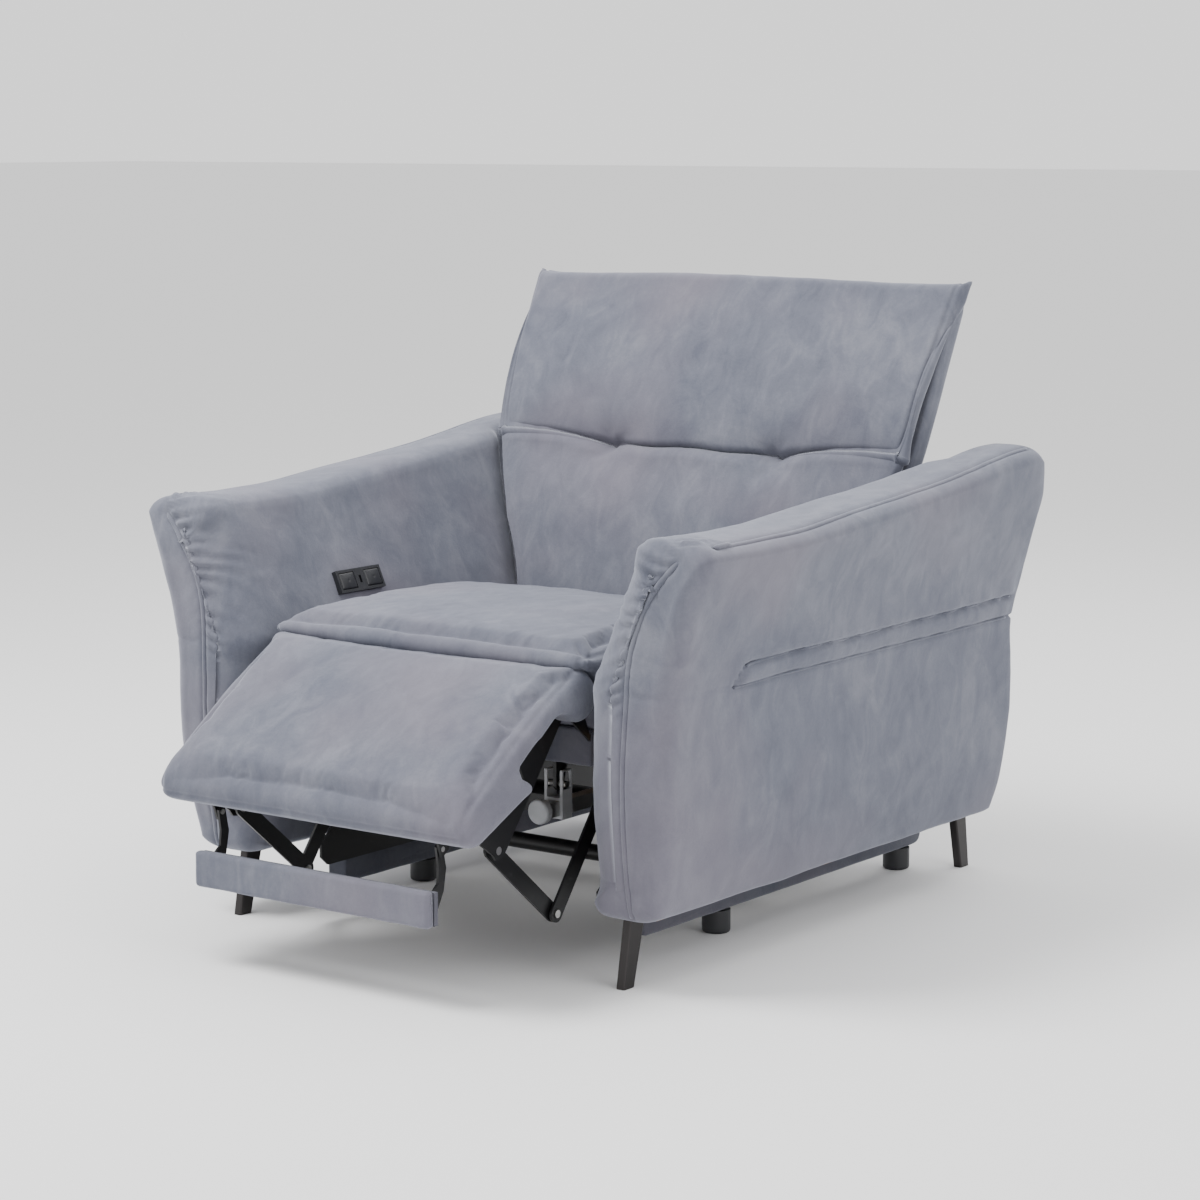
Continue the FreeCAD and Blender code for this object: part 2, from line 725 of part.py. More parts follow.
panelCuts = [(centred(u, "ButtonLength + 2 * ButtonGap", "ButtonHeight + 2 * ButtonGap"),
              "PanelThick", "ButtonPocket") for u in ("-ButtonOffset", "ButtonOffset")]
panelCuts.append((centred("0", "PortLength", "PortHeight"), "PanelThick", "PanelThick"))
panelPiece("control_bezel", centred("0", "PanelLength", "PanelHeight"), "0", "PanelThick", panelCuts)
for label, u in (("button_open", "ButtonOffset"), ("button_close", "-ButtonOffset")):
    panelPiece(label, centred(u, "ButtonLength", "ButtonHeight"),
               "PanelThick - ButtonPocket + ButtonRest", "ButtonThick")
panelPiece("usb_port", centred("0", "PortLength", "PortHeight"), "PanelThick - PortThick", "PortThick",
           [(centred("0", "PortSlotLength", "PortSlotHeight"), "PanelThick", "PortThick - PortFloor")])

portRoom = sketchOn(armCovers["left"], "XY_Plane")
portRoom.AttachmentOffset = panelPlacement("PanelThick")
polygon(portRoom, centred("0", "PortLength + 2 * PortClearance", "PortHeight + 2 * PortClearance"))
pocket(armCovers["left"], portRoom, "PortThick + PortClearance")

# ---------------------------------------------------------------- seat
sideways("seat_cushion", [
    ("HingeY + HubRadius + SoftGap", "SeatBottom"),
    ("SeatRear", "SeatBottom"),
    ("SeatRear", "SeatRearTop"),
    ("SeatCrownY", "SeatCrown"),
    ("HingeY + HubRadius + SoftGap", "SeatTop + 3"),
], "0", "SeatHalfWidth", 0)

seatRailTop = "SeatBottom"
seatRailBottom = "SeatBottom - SeatRailHeight"
for name, side in sides.items():
    box("seat_side_rail_" + name, "SeatRailWidth", "SeatRailRear - SeatRailFront", "SeatRailHeight",
        x=mirrored("SeatPlateInner + PlateThick", "SeatRailWidth", side), y="SeatRailFront",
        z=seatRailBottom)
    sideways("seat_plate_" + name, [
        ("HingeY - HingeLobe", "HingeZ - HingeLobe"),
        ("HingeY - HingeLobe", "HingeZ + HingeLobe * 0.7"),
        ("HingeY + HingeLobe", "HingeZ + HingeLobe"),
        ("HingeY + HubRadius", "SeatBottom"),
        ("BackPivotY - 2 * HingeLobe", "SeatBottom"),
        ("BackPivotY - HingeLobe", "BackPivotZ + HingeLobe"),
        ("BackPivotY + HingeLobe", "BackPivotZ + HingeLobe"),
        ("BackPivotY + HingeLobe", "BackPivotZ - HingeLobe"),
        ("GuideRearY + 2 * HingeLobe", "SeatPlateBottom"),
        ("LowerPivotY - HingeLobe", "SeatPlateBottom"),
        ("LowerPivotY - 2 * HingeLobe", "LowerPivotZ"),
    ], "SeatPlateInner", "PlateThick", side, holes=[
        ("HingeY", "HingeZ", "PinRadius"),
        ("LowerPivotY", "LowerPivotZ", "AxleRadius"),
        ("BackPivotY", "BackPivotZ", "PinRadius"),
        ("GuideFrontY", "GuideZ", "GuideRadius"),
        ("GuideRearY", "GuideZ", "GuideRadius"),
        ("SeatTubeY", "SeatTubeZ", "TubeRadius"),
    ])

group("seat_cross_rails", [
    box(f"seat_{end}_rail", "2 * SeatPlateInner", "SeatRailDepth", "SeatRailHeight",
        x="-SeatPlateInner", y=y, z=seatRailBottom)
    for end, y in (("front", "SeatRailFront"), ("rear", "SeatRailRear - SeatRailDepth"))])
sideways("seat_tube", ("SeatTubeY", "SeatTubeZ", "TubeRadius"), "0", "SeatPlateInner + PlateThick", 0,
         holes=[("SeatTubeY", "SeatTubeZ", "TubeRadius - TubeWall")])


def pinsAt(label, centres, radius, inner, outer, frame="chair"):
    """Plain pins across X, a pair for each centre (y, z)."""
    made = []
    for count, (y, z) in enumerate(centres):
        for name, side in sides.items():
            made.append(sideways(f"{label}_{count}_{name}", (y, z, radius), inner,
                                 f"{outer} - ({inner})", side, frame=frame))
    return group(label, made)


pinsAt("guide_pins", [("GuideFrontY", "GuideZ"), ("GuideRearY", "GuideZ")], "GuideRadius",
       "SeatPlateInner", "RailInner + PinProud")
pinsAt("footrest_hinge_pins", [("HingeY", "HingeZ")], "PinRadius", "BracketPlateInner - PinProud",
       "SeatPlateInner + PlateThick")
pinsAt("torque_axles", [("LowerPivotY", "LowerPivotZ")], "AxleRadius", "LowerLinkInner - 20",
       "SeatPlateInner + PlateThick")
pinsAt("back_hinge_pins", [("BackPivotY", "BackPivotZ")], "PinRadius", "BackBracketInner - PinProud",
       "SeatPlateInner + PlateThick")


def sinuous(x, start, end, wire, pitch, swing):
    """A zigzag spring of round wire along Y at X = x, with half-round turns."""
    turns = max(2, int((end - start) / pitch))
    step = (end - start) / turns
    edges = []
    here = Vector(x, start, 0)
    for index in range(turns):
        sign = 1 if index % 2 else -1
        side = x + sign * swing / 2
        begin = Vector(side, start + index * step, 0)
        edges.append(Part.LineSegment(here, begin).toShape())
        turned = Vector(side, start + (index + 1) * step, 0)
        bulge = Vector(side + sign * step / 2, start + (index + 0.5) * step, 0)
        edges.append(Part.Arc(begin, bulge, turned).toShape())
        here = turned
    edges.append(Part.LineSegment(here, Vector(x, end, 0)).toShape())
    path = Part.Wire(edges)
    first = edges[0]
    circleEdge = Part.Circle(first.valueAt(first.FirstParameter),
                             first.tangentAt(first.FirstParameter), wire).toShape()
    return path.makePipeShell([Part.Wire(circleEdge)], True, True, 2)


def springSet(label, count, halfSpan, start, end, x, y, z, frame):
    """Equal zigzag springs side by side between two rails, drawn in the XY plane and then placed."""
    wire, pitch, swing = sizes["SpringWire"], sizes["SpringPitch"], sizes["SpringSwing"]
    start, end = start + wire, end - wire
    rows = [-halfSpan + 2 * halfSpan * index / (count - 1) for index in range(count)]
    piece = doc.addObject("Part::Feature", label)
    piece.Label = label
    piece.Shape = Part.makeCompound([sinuous(row, start, end, wire, pitch, swing) for row in rows])
    pieces.append(piece)
    if frame == "back":
        turn = Rotation(Vector(1, 0, 0), 90 - number("BackLean"))
        lean = Rotation(Vector(1, 0, 0), -number("BackLean"))
        base = Vector(0, number("BackPivotY"), number("BackPivotZ"))
        piece.Placement = Placement(base + lean.multVec(Vector(x, y, z)), turn)
    else:
        piece.Placement = Placement(Vector(x, y, z), Rotation())
    return piece


springClear = sizes["SpringWire"] + 1
springSet("seat_springs", 6, 190, 0,
          number("SeatRailRear - SeatRailFront - 2 * SeatRailDepth") - 0.2, 0,
          number("SeatRailFront + SeatRailDepth") + 0.1,
          number(seatRailTop) - springClear, "chair")

# ---------------------------------------------------------------- footrest
# Drawn in the footrest's frame: -Y along the footrest, +Z out of its top face.


def footPad():
    """A hub round the hinge, a thin pad, and a deeper box at the outer end."""
    pad_ = newBody("footrest_pad")
    sketch = sketchOn(pad_, "YZ_Plane")
    polygon(sketch, [
        ("0", "HubRadius"),
        ("-FootLength", "HubRadius"),
        ("-FootLength - 3", "HubRadius - FootNoseDrop / 2"),
        ("-FootLength + 14", "HubRadius - FootNoseDrop - 3"),
        ("-FootBoxStart - 8", "HubRadius - FootBoxDeep"),
        ("-FootBoxStart", "HubRadius - FootBoxDeep + 12"),
        ("-FootBoxStart - 30", "HubRadius - FootPadThick"),
        ("0", "HubRadius - FootPadThick"),
    ])
    pad(pad_, sketch, "2 * FootHalfWidth", both=True)
    hub = sketchOn(pad_, "YZ_Plane")
    circle(hub, "0", "0", "HubRadius")
    # between the seat plates the hub is full; the plates' own ends stay outside it
    pad(pad_, hub, "2 * (BracketPlateInner - 6)", both=True)
    slot = sketchOn(pad_, "YZ_Plane")
    polygon(slot, rectangle("-FootLength + FootBoardMargin", "HubRadius - FootNoseDrop + 10",
                            "FootLength - FootBoardMargin - FootBoxStart - 14", "FootBoardThick"))
    pocket(pad_, slot, "2 * (FootHalfWidth - FootBoardMargin)", both=True)
    place(pad_, frame="foot")
    return pad_


footPad()
sideways("footrest_board",
         rectangle("-FootLength + FootBoardMargin", "HubRadius - FootNoseDrop + 10",
                   "FootLength - FootBoardMargin - FootBoxStart - 14", "FootBoardThick"),
         "0", "FootHalfWidth - FootBoardMargin", 0, frame="foot")


linkY = "-LinkPivotAlong"
linkZ = "-LinkPivotBelow"
underside = "HubRadius - FootBoxDeep"
footBrackets = []
flapEars = []
for name, side in sides.items():
    # from the hinge, under the pad, to the upper link's pivot
    footBrackets.append(sideways("footrest_bracket_" + name, [
        ("HingeLobe", "HingeLobe * 0.6"),
        ("HingeLobe * 0.4", "HingeLobe"),
        ("-FootBoxStart + 20", "HubRadius - FootPadThick - 6"),
        ("-FootBoxStart + 12", f"{underside} - 3"),
        (f"{linkY} - 30", f"{underside} - 3 + 14"),
        (f"{linkY} - LinkHalfWidth", f"{linkZ} + 4"),
        (f"{linkY} - LinkHalfWidth", f"{linkZ} - LinkHalfWidth * 0.5"),
        (f"{linkY} - LinkHalfWidth * 0.5", f"{linkZ} - LinkHalfWidth"),
        (f"{linkY} + LinkHalfWidth * 0.5", f"{linkZ} - LinkHalfWidth"),
        ("-FootBoxStart + 30", f"{underside} - 24"),
        ("HingeLobe * 0.4", "-HingeLobe"),
        ("HingeLobe", "-HingeLobe * 0.6"),
    ], "BracketPlateInner", "PlateThick", side, frame="foot", holes=[
        ("0", "0", "PinRadius + RunningFit"),
        (linkY, linkZ, "PinRadius"),
    ]))
    flapEars.append(sideways("flap_ear_" + name, [
        ("-FlapPivotAlong - 9", "-FlapPivotBelow - 9"),
        ("-FlapPivotAlong + 9", "-FlapPivotBelow - 9"),
        ("-FlapPivotAlong + 30", "HubRadius - FootNoseDrop - 10"),
        ("-FlapPivotAlong - 2", "HubRadius - FootNoseDrop - 5"),
    ], "FlapEarInner", "PlateThick", side, frame="foot",
        holes=[("-FlapPivotAlong", "-FlapPivotBelow", "FlapPinRadius")]))
group("footrest_brackets", footBrackets)
group("flap_ears", flapEars)
pinsAt("link_pins", [(linkY, linkZ)], "PinRadius", "UpperLinkInner - PinProud", "BracketPlateInner + PlateThick",
       frame="foot")
pinsAt("flap_pins", [("-FlapPivotAlong", "-FlapPivotBelow")], "FlapPinRadius", "FlapArmInner - PinProud",
       "FlapEarInner + PlateThick", frame="foot")

# ---------------------------------------------------------------- footrest linkage
# A parallelogram: hinge, lower pivot, knee, link pivot. In the chair's frame at rest:
turnOut = "FootSlope * 1deg"
linkPivotY = f"(HingeY - LinkPivotAlong * cos({turnOut}) + LinkPivotBelow * sin({turnOut}))"
linkPivotZ = f"(HingeZ - LinkPivotAlong * sin({turnOut}) - LinkPivotBelow * cos({turnOut}))"
kneeY = f"(LowerPivotY + {linkPivotY} - HingeY)"
kneeZ = f"(LowerPivotZ + {linkPivotZ} - HingeZ)"
group("lower_links", [
    link("lower_link_" + name, ("LowerPivotY", "LowerPivotZ"), (kneeY, kneeZ), "LinkHalfWidth",
         "LowerLinkInner", "LinkThick", side, [
             ("LowerPivotY", "LowerPivotZ", "TorqueTubeRadius"),
             (kneeY, kneeZ, "PinRadius + OpenFit")])
    for name, side in sides.items()])
group("upper_links", [
    link("upper_link_" + name, (linkPivotY, linkPivotZ), (kneeY, kneeZ), "LinkHalfWidth",
         "UpperLinkInner", "LinkThick", side, [
             (linkPivotY, linkPivotZ, "PinRadius + RunningFit"),
             (kneeY, kneeZ, "PinRadius")])
    for name, side in sides.items()])
pinsAt("knee_pins", [(kneeY, kneeZ)], "PinRadius", "UpperLinkInner - PinProud", "LowerLinkInner + LinkThick + PinProud")
sideways("torque_tube", ("LowerPivotY", "LowerPivotZ", "TorqueTubeRadius"), "0",
         "LowerLinkInner + LinkThick + 3", 0,
         holes=[("LowerPivotY", "LowerPivotZ", "AxleRadius + RunningFit")])

# ---------------------------------------------------------------- drive
crankY = "(LowerPivotY - CrankRadius * sin(CrankAhead * 1deg))"
crankZ = "(LowerPivotZ - CrankRadius * cos(CrankAhead * 1deg))"
crank = newBody("crank")
sketch = sketchOn(crank, "YZ_Plane")
polygon(sketch, [
    ("LowerPivotY - TorqueTubeRadius - 5", "LowerPivotZ + 4"),
    ("LowerPivotY - TorqueTubeRadius + 2", "LowerPivotZ + TorqueTubeRadius + 4"),
    ("LowerPivotY + TorqueTubeRadius - 2", "LowerPivotZ + TorqueTubeRadius + 4"),
    ("LowerPivotY + TorqueTubeRadius + 5", "LowerPivotZ + 4"),
    (f"{crankY} + DrivePinRadius + 4", f"{crankZ} - 4"),
    (f"{crankY} + 3", f"{crankZ} - DrivePinRadius - 5"),
    (f"{crankY} - 3", f"{crankZ} - DrivePinRadius - 5"),
    (f"{crankY} - DrivePinRadius - 4", f"{crankZ} - 4"),
])
circle(sketch, "LowerPivotY", "LowerPivotZ", "TorqueTubeRadius")
circle(sketch, crankY, crankZ, "DrivePinRadius")
pad(crank, sketch, "CrankThick", both=True)
place(crank, x="DriveX")
sideways("drive_pin", (crankY, crankZ, "DrivePinRadius"), "DriveX - NutSpan", "2 * NutSpan")

# the nut: two cheeks with windows for the crank's pin, joined under the crank
nutBottom = "DriveZ - DriveRailHeight / 2 - NutWall"
nutFloor = "DriveZ + DriveRailHeight / 2 + NutWall"
nut = newBody("drive_nut")
sketch = sketchOn(nut, "YZ_Plane")
polygon(sketch, [
    (f"{crankY} - NutHalfLength", nutBottom),
    (f"{crankY} + NutHalfLength", nutBottom),
    (f"{crankY} + NutHalfLength", "NutTop"),
    (f"{crankY} - NutHalfLength", "NutTop"),
])
pad(nut, sketch, "2 * NutSpan", both=True)
sketch = sketchOn(nut, "XZ_Plane", offset=f"-({crankY}) + NutHalfLength + 1")
polygon(sketch, rectangle("-DriveRailWidth / 2 - 0.3", "DriveZ - DriveRailHeight / 2 - 0.3",
                          "DriveRailWidth + 0.6", "DriveRailHeight + 0.6"))
pocket(nut, sketch, "2 * NutHalfLength + 2")
sketch = sketchOn(nut, "XZ_Plane", offset=f"-({crankY}) + NutHalfLength + 1")
polygon(sketch, rectangle("-NutSpan + NutWall", nutFloor, "2 * NutSpan - 2 * NutWall", "NutTop - 150"))
pocket(nut, sketch, "2 * NutHalfLength + 2")
sketch = sketchOn(nut, "YZ_Plane")
polygon(sketch, rectangle(f"{crankY} - DrivePinRadius - 4.5", f"{crankZ} - DrivePinRadius - 2",
                          "2 * DrivePinRadius + 9", "2 * DrivePinRadius + 17"))
pocket(nut, sketch, "2 * NutSpan + 2", both=True)
place(nut, x="DriveX")

railBox = ("DriveX - DriveRailWidth / 2", "DriveZ - DriveRailHeight / 2")
box("drive_rail", "DriveRailWidth", "DriveRailRear - DriveRailFront", "DriveRailHeight",
    x=railBox[0], y="DriveRailFront", z=railBox[1])
cap = newBody("drive_rail_cap")
sketch = sketchOn(cap, "XZ_Plane", offset="-DriveRailFront")
circle(sketch, "DriveX", "DriveZ", "DriveCapRadius")
pad(cap, sketch, "DriveCapLength")
fillet(cap, "4", lambda edge, m: abs(m.y - number("DriveRailFront - DriveCapLength")) < 0.1)
box("gearbox", "GearboxWidth", "GearboxLength", "GearboxTop - GearboxBottom",
    x="DriveX - GearboxWidth / 2", y="DriveRailRear", z="GearboxBottom")
motor = newBody("motor")
sketch = sketchOn(motor, "XZ_Plane", offset="-(DriveRailRear + GearboxLength)")
circle(sketch, "DriveX", "(GearboxBottom + GearboxTop) / 2", "MotorRadius")
pad(motor, sketch, "MotorLength", back=True)
hanger = newBody("motor_hanger")
sketch = sketchOn(hanger, "YZ_Plane")
polygon(sketch, [
    ("DriveRailRear + GearboxLength - 40", "GearboxTop"),
    ("DriveRailRear + GearboxLength", "GearboxTop"),
    ("SeatTubeY + 0.6 * TubeRadius", "SeatTubeZ - TubeRadius - HangerWall"),
    ("SeatTubeY + TubeRadius + HangerWall", "SeatTubeZ - 0.4 * TubeRadius"),
    ("SeatTubeY + TubeRadius + HangerWall", "SeatTubeZ + 0.6 * TubeRadius"),
    ("SeatTubeY + 0.5 * TubeRadius", "SeatTubeZ + TubeRadius + HangerWall"),
    ("SeatTubeY - TubeRadius", "SeatTubeZ + TubeRadius + HangerWall"),
])
circle(sketch, "SeatTubeY", "SeatTubeZ", "TubeRadius")
pad(hanger, sketch, "GearboxWidth / 2", both=True)
place(hanger, x="DriveX")

# ---------------------------------------------------------------- foot flap
box("flap_pad", "2 * FlapHalfWidth", "FlapThick - FlapBoardThick", "FlapHeight",
    x="-FlapHalfWidth", y="FlapFrontY", z="FlapBottom")
box("flap_board", "2 * (FlapHalfWidth - 4)", "FlapBoardThick", "FlapHeight - 8",
    x="-FlapHalfWidth + 4", y="FlapFrontY + FlapThick - FlapBoardThick", z="FlapBottom + 4")
flapBack = "(FlapFrontY + FlapThick)"
flapY = f"(HingeY - FlapPivotAlong * cos({turnOut}) + FlapPivotBelow * sin({turnOut}))"
flapZ = f"(HingeZ - FlapPivotAlong * sin({turnOut}) - FlapPivotBelow * cos({turnOut}))"
group("flap_arms", [
    sideways("flap_arm_" + name, [
        (f"{flapY} - FlapArmHalfWidth", f"{flapZ} + 3"),
        (f"{flapY} - 3", f"{flapZ} + FlapArmHalfWidth"),
        (f"{flapY} + 3", f"{flapZ} + FlapArmHalfWidth"),
        (f"{flapY} + FlapArmHalfWidth", f"{flapZ} + 3"),
        (f"{flapY} + FlapArmHalfWidth + 7", f"{flapZ} - 30"),
        (f"{flapY} + FlapArmHalfWidth + 1", f"{flapZ} - 62"),
        (f"{flapBack} + 9", "FlapBottom + 12"),
        (flapBack, "FlapBottom + 8"),
        (flapBack, "FlapBottom + FlapHeight - 10"),
        (f"{flapY} - FlapArmHalfWidth + 3", f"{flapZ} - 50"),
        (f"{flapY} - FlapArmHalfWidth + 5", f"{flapZ} - 28"),
    ], "FlapArmInner", "PlateThick", side,
        holes=[(flapY, flapZ, "FlapPinRadius + RunningFit")])
    for name, side in sides.items()])

# ---------------------------------------------------------------- back
# Drawn in the back's frame: +Z up the lean, +Y to the rear, from the back's hinge.


def backCushion(label, outline, low, high):
    """A slab from its side outline, with the back's sides cut to their taper."""
    cushion = newBody(label)
    sketch = sketchOn(cushion, "YZ_Plane")
    polygon(sketch, outline)
    pad(cushion, sketch, "2 * BackTopHalfWidth", both=True)
    for sign in ("", "-"):
        trim = sketchOn(cushion, "XZ_Plane", offset="150")
        points = [
            ("BackWaistHalfWidth", f"{low} - 10"),
            ("BackWaistHalfWidth", "BackWaist"),
            ("BackSeamHalfWidth", "BackSeam"),
            ("BackTopHalfWidth", "BackTop"),
            ("BackTopHalfWidth", f"{high} + 10"),
            ("BackTopHalfWidth + 30", f"{high} + 10"),
            ("BackTopHalfWidth + 30", f"{low} - 10"),
        ]
        if high == "BackSeam":
            points = points[:3] + [("BackSeamHalfWidth", f"{high} + 10")] + points[5:]
        else:
            points = [("BackSeamHalfWidth", f"{low} - 10"), ("BackSeamHalfWidth", "BackSeam")] + points[3:]
        polygon(trim, [(f"{sign}({x})", z) for x, z in points])
        pocket(cushion, trim, "400")
    rounded = number("BackFace + BackCrown / 2")
    fillet(cushion, "BackCrown", lambda edge, m: abs(m.x) > number("BackWaistHalfWidth") - 1 and
           m.y < rounded and abs(edge.tangentAt(edge.FirstParameter).z) > 0.5)
    place(cushion, frame="back")
    return cushion


backCushion("lumbar_cushion", [
    ("BackFace", "BackBottom + 6"),
    ("BackFace", "BackSeam"),
    ("BackCushionRear", "BackSeam"),
    ("BackCushionRear", "BackBottom"),
    ("BackFace + 30", "BackBottom"),
], "BackBottom", "BackSeam")
backCushion("head_cushion", [
    ("BackFace", "BackSeam"),
    ("BackTopFace - 6", "BackTop - 14"),
    ("BackTopFace + 6", "BackTop"),
    ("BackTopRear", "BackTop"),
    ("BackCushionRear + 8", "BackFrameTop + 12"),
    ("BackCushionRear", "BackFrameTop"),
    ("BackCushionRear", "BackSeam"),
], "BackSeam", "BackTop")
group("back_posts", [
    box("back_post_" + name, "BackPostWidth", "BackPostThick", "BackFrameTop - BackBottom",
        x=mirrored("BackPostX", "BackPostWidth", side), y="BackCushionRear", z="BackBottom", frame="back")
    for name, side in sides.items()])
group("back_brackets", [
    sideways("back_bracket_" + name, [
        ("HingeLobe", "-HingeLobe * 0.6"),
        ("HingeLobe * 0.6", "-HingeLobe"),
        ("-HingeLobe * 0.6", "-HingeLobe"),
        ("-HingeLobe", "-HingeLobe * 0.6"),
        ("-HingeLobe", "BackBottom - 6"),
        ("BackCushionRear", "BackBottom - 1"),
        ("BackCushionRear", "BackBottom + 90"),
        ("BackCushionRear + BackPostThick", "BackBottom + 90"),
        ("BackCushionRear + BackPostThick", "BackBottom - 10"),
    ], "BackBracketInner - PlateThick / 2", "PlateThick", side, frame="back",
        holes=[("0", "0", "PinRadius + RunningFit")])
    for name, side in sides.items()])
for end, half, z in (("top", "BackPostX", "BackFrameTop - BackRailHeight"),
                     ("bottom", "BackBracketInner - PlateThick / 2", "BackBottom")):
    box(f"back_{end}_rail", f"2 * ({half}) - 0.2", "BackPostThick", "BackRailHeight",
        x=f"-({half}) + 0.1", y="BackCushionRear", z=z, frame="back")
springSet("back_springs", 4, 150, number("BackBottom + BackRailHeight") + 0.1,
          number("BackFrameTop - BackRailHeight") - 0.1, 0, number("BackCushionRear") + springClear, 0,
          "back")
panel = newBody("back_panel")
sketch = sketchOn(panel, "XZ_Plane", offset="-(BackCushionRear + BackPostThick)")
polygon(sketch, [
    ("-BackWaistHalfWidth + 8", "BackPanelBottom"),
    ("BackWaistHalfWidth - 8", "BackPanelBottom"),
    ("BackSeamHalfWidth - 14", "BackSeam"),
    ("BackTopHalfWidth - 16", "BackFrameTop + 8"),
    ("-BackTopHalfWidth + 16", "BackFrameTop + 8"),
    ("-BackSeamHalfWidth + 14", "BackSeam"),
])
pad(panel, sketch, "BackPanelThick", back=True)
place(panel, frame="back")

# ---------------------------------------------------------------- checks and files
doc.recompute()
for thing in doc.Objects:
    if "Invalid" in thing.State or "Error" in thing.State:
        raise RuntimeError(f"{thing.Label} failed: {thing.State}")
os.makedirs("parts", exist_ok=True)
for piece in pieces:
    shape = piece.Shape
    if shape.isNull() or not shape.isValid():
        raise RuntimeError(piece.Label + " has no valid shape")
    shape.exportStep(os.path.join("parts", piece.Label + ".step"))
    print(f"{piece.Label}: {len(shape.Solids)} solid(s), {shape.Volume / 1000:.1f} cm3")
print(len(pieces), "sub-parts")
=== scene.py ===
import json
import math

import bpy
import bmesh
import numpy as np
from mathutils import Matrix, Vector
from mathutils.bvhtree import BVHTree


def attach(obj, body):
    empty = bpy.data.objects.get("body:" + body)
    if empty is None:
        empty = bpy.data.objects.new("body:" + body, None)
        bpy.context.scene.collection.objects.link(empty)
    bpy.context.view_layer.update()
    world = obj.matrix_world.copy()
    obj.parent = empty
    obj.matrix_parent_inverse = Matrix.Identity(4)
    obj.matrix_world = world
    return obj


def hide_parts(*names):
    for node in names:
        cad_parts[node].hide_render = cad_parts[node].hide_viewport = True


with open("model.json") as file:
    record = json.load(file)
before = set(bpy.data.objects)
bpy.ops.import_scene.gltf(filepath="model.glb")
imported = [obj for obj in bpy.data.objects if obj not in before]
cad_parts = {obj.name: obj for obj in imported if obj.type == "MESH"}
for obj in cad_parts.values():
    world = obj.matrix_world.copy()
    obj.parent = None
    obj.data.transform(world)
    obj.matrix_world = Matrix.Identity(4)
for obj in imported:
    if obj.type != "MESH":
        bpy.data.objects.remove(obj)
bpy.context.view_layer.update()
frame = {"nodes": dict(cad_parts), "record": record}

print("frame loaded")

# small helpers: values that vary along a line, and meshes from grids


def spline(table, t):
    # smooth value of t in a table of (t, value), clamped at its ends
    xs = np.array([row[0] for row in table], float)
    ys = np.array([row[1] for row in table], float)
    t = np.clip(np.asarray(t, float), xs[0], xs[-1])
    i = np.clip(np.searchsorted(xs, t) - 1, 0, len(xs) - 2)
    slope = np.gradient(ys, xs)
    h = xs[i + 1] - xs[i]
    s = (t - xs[i]) / h
    return ((2 * s**3 - 3 * s**2 + 1) * ys[i] + (s**3 - 2 * s**2 + s) * h * slope[i]
            + (-2 * s**3 + 3 * s**2) * ys[i + 1] + (s**3 - s**2) * h * slope[i + 1])


def smooth(low, high, t):
    s = np.clip((np.asarray(t, float) - low) / (high - low), 0, 1)
    return s * s * (3 - 2 * s)


def bell(d, width):
    return np.exp(-(np.asarray(d, float) / width) ** 2)


def waves(p, size, seed, octaves=3):
    # soft seeded undulation from sums of plane waves, about -1 to 1
    rng = np.random.default_rng(seed)
    total = np.zeros(len(p))
    weight = 0.0
    for octave in range(octaves):
        for _ in range(6):
            direction = rng.normal(size=3)
            direction /= np.linalg.norm(direction)
            k = 2 * math.pi / (size / 1.7**octave) * rng.uniform(0.7, 1.3)
            total += np.sin(p @ direction * k + rng.uniform(0, 6.28)) / 1.6**octave
        weight += 6 / 1.6**octave
    return total / weight * 2.2


def meshFrom(name, verts, faces, smoothShade=True):
    mesh = bpy.data.meshes.new(name)
    mesh.from_pydata([tuple(map(float, v)) for v in verts], [], [tuple(map(int, f)) for f in faces])
    mesh.validate()
    work = bmesh.new()
    work.from_mesh(mesh)
    bmesh.ops.remove_doubles(work, verts=work.verts, dist=1e-6)
    bmesh.ops.recalc_face_normals(work, faces=work.faces)
    work.to_mesh(mesh)
    work.free()
    if smoothShade:
        mesh.polygons.foreach_set("use_smooth", [True] * len(mesh.polygons))
    piece = bpy.data.objects.new(name, mesh)
    bpy.context.scene.collection.objects.link(piece)
    return piece


def gridFaces(rows, cols, start=0, closeCols=False):
    faces = []
    for r in range(rows - 1):
        for c in range(cols if closeCols else cols - 1):
            d = (c + 1) % cols
            faces.append((start + r * cols + c, start + r * cols + d,
                          start + (r + 1) * cols + d, start + (r + 1) * cols + c))
    return faces


def coords(piece):
    out = np.empty(len(piece.data.vertices) * 3)
    piece.data.vertices.foreach_get("co", out)
    return out.reshape(-1, 3)


def normals(piece):
    out = np.empty(len(piece.data.vertices) * 3)
    piece.data.vertex_normals.foreach_get("vector", out)
    return out.reshape(-1, 3)


def setCoords(piece, p):
    piece.data.vertices.foreach_set("co", np.ascontiguousarray(p, dtype=np.float32).ravel())
    piece.data.update()


def push(piece, amount):
    # moves every vertex out along its normal
    setCoords(piece, coords(piece) + normals(piece) * np.asarray(amount)[:, None])


def applied(piece):
    # a plain mesh of the piece with its modifiers in it
    depsgraph = bpy.context.evaluated_depsgraph_get()
    mesh = bpy.data.meshes.new_from_object(piece.evaluated_get(depsgraph), depsgraph=depsgraph)
    old = piece.data
    piece.modifiers.clear()
    piece.data = mesh
    if isinstance(old, bpy.types.Mesh):
        bpy.data.meshes.remove(old)
    mesh.polygons.foreach_set("use_smooth", [True] * len(mesh.polygons))
    return piece


def finish(piece, body, material, nodes=()):
    piece.data.materials.clear()
    piece.data.materials.append(material)
    if nodes:
        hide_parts(*nodes)
    if body:
        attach(piece, body)
    return piece


